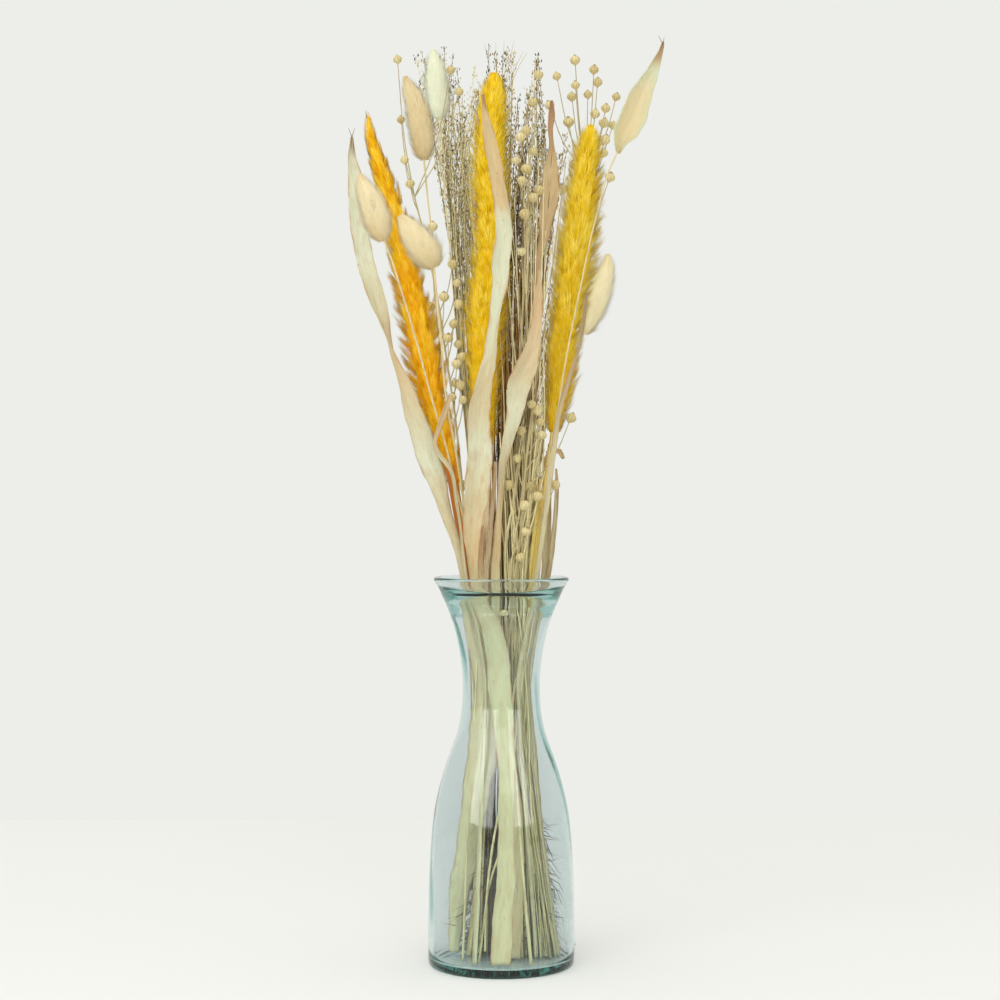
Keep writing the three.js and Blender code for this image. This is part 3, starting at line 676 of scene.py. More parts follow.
def at_station(values, s):
    """Values between evenly spaced stations."""
    k = np.clip(s.astype(int), 0, len(values) - 2)
    f = np.clip(s - k, 0, 1)
    f = f[:, None] if values.ndim > 1 else f
    return values[k] * (1 - f) + values[k + 1] * f


def nearest(points, leaders):
    """The number of the nearest leader of each point."""
    found = np.empty(len(points), int)
    for start in range(0, len(points), AT_ONCE):
        part = points[start:start + AT_ONCE]
        away = ((part[:, None] - leaders[None]) ** 2).sum(axis=2)
        found[start:start + AT_ONCE] = away.argmin(axis=1)
    return found


def coat(name, rows, count, seed, drop=8.5, core=0.66, tuft=12, pull=0.36, bulge=0.12, width=0.13,
         depth=0.82, reach=(0.72, 0.7), lift=0.9, stray=0.3, rooted=0.7):
    """The hairs of a furry head, and the direction out of the head at each hair.

    rows hold x, y, z and the outer radius, from the tip down. A hair's root lies about drop millimetres below
    its tip, at the rooted share of the core's radius. Its tip lies at a share of the outer radius, from the
    first value of reach to the sum of both. Tufts have about tuft hairs each. pull draws them together, lift
    sends them up, bulge bends a hair outwards and stray scatters its tip.
    """
    roll = np.random.default_rng(seed)
    places, way = even_places(rows, COAT_RINGS)
    line = smooth(rows, places)
    run, side, back = turned_along(line[:, :3])
    girth = np.cumsum(line[:, 3])
    at = np.interp(roll.random(count), girth / girth[-1], np.arange(COAT_RINGS))
    turn = 2 * math.pi * roll.random(count)

    def spot(s, share):
        out = at_station(side, s) * np.cos(turn)[:, None]
        out = out + at_station(back, s) * (np.sin(turn) * depth)[:, None]
        return at_station(line[:, :3], s) + out * (at_station(line[:, 3], s) * share)[:, None], unit(out)

    surface = spot(at, np.ones(count))[0]
    leaders = surface[roll.integers(count, size=max(1, count // tuft))]
    chosen = nearest(surface, leaders)
    own = roll.random((len(leaders), 5))[chosen]
    tip, out = spot(at, reach[0] + reach[1] * own[:, 0] + 0.08 * (roll.random(count) - 0.5))
    below = drop * (0.75 + 0.5 * own[:, 1]) * (0.85 + 0.3 * roll.random(count)) / way * (COAT_RINGS - 1)
    root = spot(np.minimum(at + below, COAT_RINGS - 1), np.full(count, rooted * core))[0]
    members = np.maximum(np.bincount(chosen, minlength=len(leaders)), 1)[:, None]
    middle = np.stack([np.bincount(chosen, tip[:, k], len(leaders)) for k in range(3)], axis=1) / members
    ahead = -at_station(run, at)
    goal = middle[chosen] + ahead * (lift * drop * own[:, 2:3])
    tip = tip + (goal - tip) * pull * (0.5 + 0.5 * roll.random((count, 1)))
    tip = tip + stray * drop * (roll.random((count, 3)) - 0.5)
    length = np.linalg.norm(tip - root, axis=1, keepdims=True)
    bend = 0.5 * (root + tip) + out * bulge * length
    shade = 0.4 * own[:, 4] + 0.6 * roll.random(count)
    made = sticks(name, hair, root, bend, tip, width * (0.6 + 0.8 * roll.random(count)), facing=out,
                  flat=HAIR_FLAT, shade=shade, height=at / (COAT_RINGS - 1))
    return made, unit(out + 0.4 * ahead)


print("directions of the hairs are measured at", COAT_RINGS, "places along a head")

# %% [markdown]
# The core is a thick rod inside the coat. Its colour is painted shade, the deep colour of the hair roots.
# Its points are moved in and out at random and differ in tone, so that it looks like more hair where it
# shows.

# %% Core
CORE_STEP = 2.9
CORE_SIDES = 16


def core_of(name, rows, seed, core, depth):
    """The lumpy core that the hairs stand in."""
    rows = rows.copy()
    rows[:, 3] *= core
    rings = int(even_places(rows, 2)[1] / CORE_STEP)
    made = rods(name, [rows], CORE_SIDES, rings, height=[0.5])
    roll = np.random.default_rng(seed)
    points = corners(made)
    places = smooth(rows, even_places(rows, rings)[0])
    centre = places[np.argmin(np.abs(points[:, None, 2] / MM - places[None, :, 2]), axis=1), :3] * MM
    spread = (points - centre) * (0.92 + 0.16 * roll.random((len(points), 1)))
    spread[:, 1] *= depth
    # Painted shade: the whole core takes the deep tone of the hair roots.
    marked(made.data, "along", np.full(len(points), CORE_SHADE_TONE))
    marked(made.data, "shade", 0.3 + 0.4 * roll.random(len(points)))
    return moved(made, centre + spread)


print("a core has", CORE_SIDES, "sides and a ring every", CORE_STEP, "mm")

# %% [markdown]
# The colour runs from deep at the roots of the hairs to bright at their ends, which is painted shade inside
# the fur. The dye differs a little from tuft to tuft, and the lower part of a head is darker in patches,
# partly painted shade and partly uneven dye. The marks stored on the hairs carry that into the material. A
# weak sheen gives the soft edge of fur.

# %% Fur and stalk finishes
def fur_finish(name, deep, middle, bright, low=None, contrast=1.05, sheen=0.08):
    """Plant hair: deep roots to bright tips as painted shade, a drift from tuft to tuft, and a darker foot of
    the head, partly painted shade.
    """
    made = Finish(name, Roughness=0.85, Specular_IOR_Level=0.05, Sheen_Weight=sheen, Sheen_Roughness=0.5,
                  Sheen_Tint=bright)
    along, shade, height = made.mark("along"), made.mark("shade"), made.mark("height")
    # along darkens the roots and the core as painted shade; shade is each hair's own tone.
    tone = 0.2 + along * 0.6 + (shade - 0.5) * contrast
    colour = made.ramp(tone, [(0.0, deep), (0.5, middle), (1.0, bright)], "EASE")
    # low darkens the foot of the head in noisy patches: partly painted shade, partly uneven dye.
    if low:
        drift = made.noise(made.place(), 45, 2)
        share = ((height - 0.35) * 1.2 + (drift - 0.5) * 2.2).between(0.0, 1.0)
        colour = made.mix(share * (1.0 - along * 0.5), colour, low)
    return made.paint(colour)


def stalk_finish(name, high, low, streak=rgb(150, 120, 70)):
    """A thin dry stalk: one colour at the top, another at the foot, with fine long streaks."""
    made = Finish(name, Roughness=0.7)
    along = made.mark("along")
    streaks = made.noise(made.node("ShaderNodeMapping", Vector=made.place(), Scale=(900, 900, 25)), 1.0, 3)
    colour = made.mix(along.between(0.3, 0.75), high, low)
    colour = made.mix(made.mark("shade").between(0.45, 0.85) * 0.85, colour, streak)
    return made.paint(made.mix(streaks.between(0.45, 0.8) * 0.6, colour, streak), streaks, 0.0002)


amber_fur = fur_finish("amber fur", rgb(190, 104, 0), rgb(240, 178, 8), rgb(252, 218, 76),
                       rgb(234, 140, 0))
lemon_fur = fur_finish("lemon fur", rgb(184, 128, 0), rgb(242, 198, 16), rgb(254, 232, 108),
                       rgb(238, 174, 4))
ochre_fur = fur_finish("ochre fur", rgb(166, 118, 0), rgb(236, 194, 24), rgb(252, 230, 112),
                       rgb(216, 166, 20))
amber_stalk = stalk_finish("amber stalk", rgb(206, 112, 10), rgb(196, 168, 96))
yellow_stalk = stalk_finish("yellow stalk", rgb(236, 208, 108), rgb(216, 208, 142))
straw_stalk = stalk_finish("straw stalk", rgb(232, 214, 158), rgb(216, 208, 148))
cream_straw = stalk_finish("cream straw", rgb(255, 244, 190), rgb(232, 226, 166), rgb(110, 80, 34))
print("fur and stalk finishes:", len(bpy.data.materials), "materials so far")

# %% [markdown]
# Three plumes were dyed: amber on the left with wide, jagged tufts, lemon yellow in the middle and ochre on
# the right, both dense and furry. Each head and its stalk become one piece with two materials. Fine fur
# lets the light through, so it throws no shadow, and it doesn't hold back the light that goes from place to
# place.

# %% Plumes
PLUME_HAIRS = 23500


def furry(name, node, head_rows, stalk_rows, head_finish, finish, material_slot, hairs, seed, core, depth,
          stalk_sides, **look):
    """One furry head on its stalk, with normals for its hairs that point out of the head."""
    rows = fanned(head_rows)
    fur, outward = coat(name, rows, hairs, seed, core=core, depth=depth, **look)
    heart = coloured(core_of(name + "_core", rows, seed, core, depth), head_finish)
    stalk = coloured(rods(name + "_stalk", [fanned(stalk_rows)], stalk_sides, 70, shade=[0.5]), finish)
    piece = dressed(together(name, [coloured(fur, head_finish), heart, stalk]), node)
    normals = np.zeros((len(piece.data.vertices), 3))
    normals[:hairs * len(hair["points"])] = np.repeat(outward, len(hair["points"]), axis=0)
    piece.data.normals_split_custom_set_from_vertices(normals)
    piece.visible_shadow = False
    piece.visible_diffuse = False
    return piece


furry("plume_amber", "plume_left", [
    [-93, 2, 590, 1], [-90, 1, 573, 4], [-85, 0, 556, 6], [-79, 0, 538, 7.4], [-74, -1, 520, 8.6],
    [-70, -1, 503, 9.6], [-67, -2, 486, 10.6], [-63, -2, 469, 11.6], [-59, -2, 452, 12.4],
    [-56, -3, 434, 13], [-52, -3, 416, 13], [-49, -4, 399, 11.8], [-45, -4, 382, 10.2], [-40, -5, 365, 8.6],
    [-36, -6, 349, 6.6], [-32, -7, 333, 4],
], [
    [-45, -4, 382, 3], [-36, -7, 349, 3.6], [-29, -10, 310, 3.4], [-22, -9, 270, 2.4],
    [-20, -5.5, 232, 1.7], [-18, -4, 197, 1.7], [-14, 2, 120, 1.6], [-9, 14, FLOOR, 1.6],
], amber_fur, amber_stalk, "plume_amber", PLUME_HAIRS, 5, 0.6, 0.82, 8,
    drop=9, tuft=34, pull=0.65, reach=(0.6, 0.78), lift=1.1, stray=0.25)
furry("plume_lemon", "plume_centre", [
    [-5, -8, 617, 3.5], [-5, -8, 606, 9], [-7, -8, 586, 11.4], [-8, -8, 565, 12], [-8, -8, 544, 12.8],
    [-7, -8, 524, 12.4], [-7, -8, 503, 12], [-8, -8, 482, 12.8], [-10, -8, 462, 14.4], [-11, -8, 441, 13.8],
    [-12, -8, 420, 12.4], [-12, -8, 399, 10.2], [-11, -7, 379, 7.4], [-10, -7, 360, 4.2],
], [
    [-11, -7, 379, 2], [-9, -6, 330, 1.8], [-9, -5, 296, 1.8], [-9, -4, 270, 1.8], [-8.5, -2, 232, 1.7],
    [-8, -1, 197, 1.7], [-7, 5, 120, 1.6], [-6, 19, FLOOR, 1.6],
], lemon_fur, yellow_stalk, "plume_lemon", PLUME_HAIRS, 7, 0.7, 0.82, 7)
furry("plume_ochre", "plume_right", [
    [62, -2, 583, 2.6], [61, -2, 573, 8], [59, -2, 556, 10], [57, -2, 538, 11.8], [55, -2, 521, 12.8],
    [53, -3, 504, 14.2], [51, -3, 488, 14.2], [48, -4, 472, 12.8], [46, -5, 455, 11.8], [43, -6, 438, 11.4],
    [42, -6, 420, 11.2], [41, -7, 403, 9.8], [38, -8, 386, 7], [36, -9, 370, 3.8],
], [
    [38, -8, 386, 2], [33, -10, 351, 1.8], [29, -11, 323, 1.8], [25, -11, 296, 1.8], [22, -11, 270, 1.8],
    [16, -8, 232, 1.7], [11.5, -6, 197, 1.7], [18, 2, 120, 1.6], [30, 16, FLOOR, 1.6],
], ochre_fur, yellow_stalk, "plume_ochre", PLUME_HAIRS, 9, 0.66, 0.82, 7, tuft=14, pull=0.42)

# %% [markdown]
# Bunny tail grass keeps its natural cream colour. Its hairs are finer and straighter than the plumes', lie
# close to the head and form a soft egg with faint streaks. Their roots are near the outline, so few of them
# cross, and a stronger sheen lightens the edge.

# %% Bunny tails
BUNNY_HAIRS = 5200
BUNNY_COAT = {"drop": 10, "tuft": 10, "pull": 0.25, "bulge": 0.08, "width": 0.09, "reach": (0.78, 0.62),
              "lift": 0.3, "stray": 0.4, "rooted": 0.86}
soft = {"contrast": 0.5, "sheen": 0.3}
beige_fur = fur_finish("beige fur", rgb(186, 160, 112), rgb(224, 204, 156), rgb(250, 236, 198),
                       rgb(194, 166, 110), **soft)
cream_fur = fur_finish("cream fur", rgb(204, 182, 132), rgb(234, 216, 170), rgb(255, 244, 212),
                       rgb(212, 186, 130), **soft)
greenish_fur = fur_finish("greenish fur", rgb(212, 216, 176), rgb(230, 232, 200), rgb(244, 246, 222), **soft)
honey_fur = fur_finish("honey fur", rgb(214, 196, 142), rgb(240, 226, 180), rgb(255, 248, 216),
                       rgb(216, 196, 142), **soft)


def bunny(name, node, head_rows, stalk_rows, finish, material_slot, seed):
    """One bunny tail on its thin stem."""
    return furry(name, node, head_rows, stalk_rows, finish, straw_stalk, material_slot, BUNNY_HAIRS, seed,
                 0.86, 1, 6, **BUNNY_COAT)


bunny("bunny_tail_upper_left", "bunny_upper_left", [
    [-68, 16, 622, 2], [-65, 16, 614, 4.8], [-61, 16, 604, 6.8], [-58, 16, 593, 8], [-56, 16, 582, 8.2],
    [-55.5, 16, 572, 6.6], [-54, 16, 563, 2.6],
], [
    [-55, 16, 568, 0.8], [-52, 16, 537, 0.7], [-49, 15, 509, 0.7], [-47, 13, 470, 0.7], [-43, 11, 428, 0.7],
    [-37, 9, 386, 0.7], [-30, 7, 344, 0.8], [-23, 6, 302, 0.8],
    *into_vase(0.8, (-19, 5), (-19.5, 4), (-19, 2.5), (-15, 8), (-12, 22)),
], beige_fur, "bunny_beige", 21)
bunny("bunny_tail_top", "bunny_top", [
    [-49, 30, 646, 2], [-48, 30, 638, 5], [-47, 30, 627, 7.1], [-46, 30, 616, 7.4], [-45, 30, 606, 6.6],
    [-44, 30, 596, 2.6],
], [
    [-44.5, 30, 600, 0.8], [-41, 29, 563, 0.7], [-36, 27, 528, 0.7], [-33, 24, 492, 0.7],
    [-30, 21, 457, 0.7], [-26, 18, 414, 0.7], [-22, 14, 365, 0.8], [-17, 11, 309, 0.8],
    *into_vase(0.8, (-14, 9), (-15.5, 9), (-15.5, 8.5), (-11, 14), (-8, 28)),
], greenish_fur, "bunny_greenish", 22)
bunny("bunny_tail_left", "bunny_left", [
    [-94, -38, 541, 2], [-92, -38, 534, 5.4], [-88, -38, 525, 7.8], [-84, -38, 516, 8.8],
    [-82, -38, 507, 8], [-79, -38, 497, 2.8],
], [
    [-80, -38, 501, 0.8], [-73, -37, 483, 0.8], [-64, -35, 454, 0.8], [-55, -32, 422, 0.8],
    [-47, -29, 392, 0.8], [-38, -26, 361, 0.8], [-31, -23, 332, 0.8], [-26, -21, 310, 0.8],
    *into_vase(0.8, (-21, -19.5), (-13.5, -15), (-6.3, -13.4), (-10, -8), (-16, 4)),
], cream_fur, "bunny_cream", 23)
bunny("bunny_tail_mid_left", "bunny_mid_left", [
    [-69, -26, 516, 2.4], [-64, -26, 510, 6.6], [-59, -26, 503, 9], [-54, -26, 496, 10],
    [-49, -26, 489, 9.6], [-45, -26, 481, 3.2],
], [
    [-46, -26, 485, 0.8], [-44, -25, 464, 0.8], [-41, -23, 433, 0.8], [-38, -20, 395, 0.8],
    [-32, -17, 361, 0.8], [-27, -15, 330, 0.8], [-23, -14, 303, 0.8],
    *into_vase(0.8, (-19, -13), (-19, -10.5), (-18.5, -9.6), (-17, -5), (-20, 8)),
], cream_fur, "bunny_cream", 24)
bunny("bunny_tail_right", "bunny_right", [
    [75, 14, 496, 2], [74.5, 14, 488, 4.8], [72, 14, 479, 7.2], [68, 14, 469, 8.4], [65, 14, 459, 8.6],
    [61, 14, 449, 6.8], [58, 14, 440, 2.6],
], [
    [59, 14, 444, 0.8], [52, 12, 420, 0.8], [45, 9, 399, 0.8], [40, 7, 379, 0.8], [35, 5, 358, 0.8],
    [30, 3, 316, 0.8],
    *into_vase(0.8, (26, 2), (20, 3), (15, 3.5), (24, 10), (33, 21)),
], honey_fur, "bunny_beige", 25)

# %% [markdown]
# A dry leaf is a long thin sheet that has twisted and folded as it shrank. A grid is added, laid along the
# leaf's route and given its twist, its hollow middle and small waves at the edges. The Solidify modifier
# gives it a real thickness. Three marks tell the material where on the leaf it is: along runs from 0 at the
# tip to 1 at the foot, across from -1 to 1, and reach is a length in tenths of a metre.

# %% Leaf shape
LEAF_THICK = 0.45
LEAF_ACROSS = 12
LEAF_STEP = 3.0


def leaf(name, rows, seed, finish, hollow=0.4, curl=0.25, wave=0.7):
    """A leaf along rows of x, y, z, half width and twist in degrees."""
    rows = fanned(rows)
    along = int(even_places(rows, 2)[1] / LEAF_STEP)
    grid = add(bpy.ops.mesh.primitive_grid_add, name, size=2,
               x_subdivisions=LEAF_ACROSS, y_subdivisions=along)
    flat = corners(grid)
    across, down = flat[:, 0], (1 - flat[:, 1]) / 2
    step = np.rint(down * along).astype(int)
    places, length = even_places(rows, along + 1)
    line = smooth(rows, places)
    _, side, back = turned_along(line[:, :3])
    twist = np.radians(line[:, 4])[:, None]
    wide = side * np.cos(twist) + back * np.sin(twist)
    deep = back * np.cos(twist) - side * np.sin(twist)
    half_width = np.maximum(line[:, 3], 0.3)[step]
    phase = 2 * math.pi * np.random.default_rng(seed).random(5)
    s = down * length
    ripple = wave * (np.sin(s / 9 + phase[0]) + 0.7 * np.sin(s / 4.3 + phase[1])) * across ** 2
    ripple *= np.where(across > 0, 1.0, 0.8) * np.minimum(half_width / 6, 1)
    depth_at = hollow * half_width * (1 - np.abs(across)) - curl * half_width * across ** 4 + ripple
    notch = 0.05 * np.sin(s / 6 + phase[2]) * np.sign(across) + 0.03 * np.sin(s / 2.1 + phase[3])
    sideways = across * half_width * (1 + notch)
    placed = line[step, :3] + wide[step] * sideways[:, None] + deep[step] * depth_at[:, None]
    moved(grid, np.clip(placed, BOX_LOW + LEAF_THICK, BOX_HIGH - LEAF_THICK) * MM)
    for mark, values in (("along", down), ("across", across), ("reach", s / 100)):
        marked(grid.data, mark, values)
    thicken = grid.modifiers.new("thickness", "SOLIDIFY")
    thicken.thickness = LEAF_THICK * MM
    thicken.offset = 0
    bpy.context.view_layer.objects.active = grid
    bpy.ops.object.modifier_apply(modifier=thicken.name)
    return coloured(grid, finish)


print("a leaf is", LEAF_THICK, "mm thick")

# %% [markdown]
# Veins run the whole length of a grass leaf, side by side. Noise that is stretched along the leaf gives
# fine streaks of uneven width. Colour changes slowly from foot to tip, the edges dry to brown first, and
# small spots and stains are scattered over the blade.

# %% Leaf finishes
def leaf_finish(name, stops, edge, stain=0.42, rim=0.75):
    """A dry leaf: colours from tip to foot, darker veins, brown edges and stains."""
    made = Finish(name, Roughness=0.6)
    along, across, reach = made.mark("along"), made.mark("across"), made.mark("reach")
    veins = made.noise(made.node("ShaderNodeCombineXYZ", X=across * 7, Y=reach * 1.4, Z=0.0), 4.5, 4, 0.6)
    broad = made.noise(made.node("ShaderNodeCombineXYZ", X=across * 1.2, Y=reach * 5, Z=3.0), 1.6, 3)
    spots = made.noise(made.place(), 420, 2)
    colour = made.ramp(along + (broad - 0.5) * 0.06, stops)
    colour = made.mix(veins.between(0.42, 0.75) * 0.45, colour, edge)
    colour = made.mix(broad.between(0.5, 0.8) * stain, colour, edge)
    rim_share = (across * across + (broad - 0.5) * 0.25).between(rim, 1.02) * broad.between(0.3, 0.65)
    colour = made.mix(rim_share * 0.85, colour, edge)
    colour = made.mix(spots.between(0.68, 0.8) * 0.5, colour, rgb(130, 92, 52))
    return made.paint(colour, veins + broad * 0.5, 0.0006, 0.6)

# %% [markdown]
# The leaves follow in one table. Each has its route, material slot, colours from tip to foot, edge colour
# and what is special about its form. The routes of the blades beside some leaves are there too.

# %% Table of leaves
mint, sage = rgb(226, 231, 200), rgb(218, 222, 178)
cream, peach = rgb(218, 208, 166), rgb(214, 190, 142)
tan, brown = rgb(220, 198, 146), rgb(166, 122, 76)
foot = rgb(222, 227, 180)
rust, umber_edge = rgb(196, 146, 96), rgb(156, 112, 70)
awn_finish = stalk_finish("dark awn", rgb(110, 80, 55), rgb(130, 95, 60))

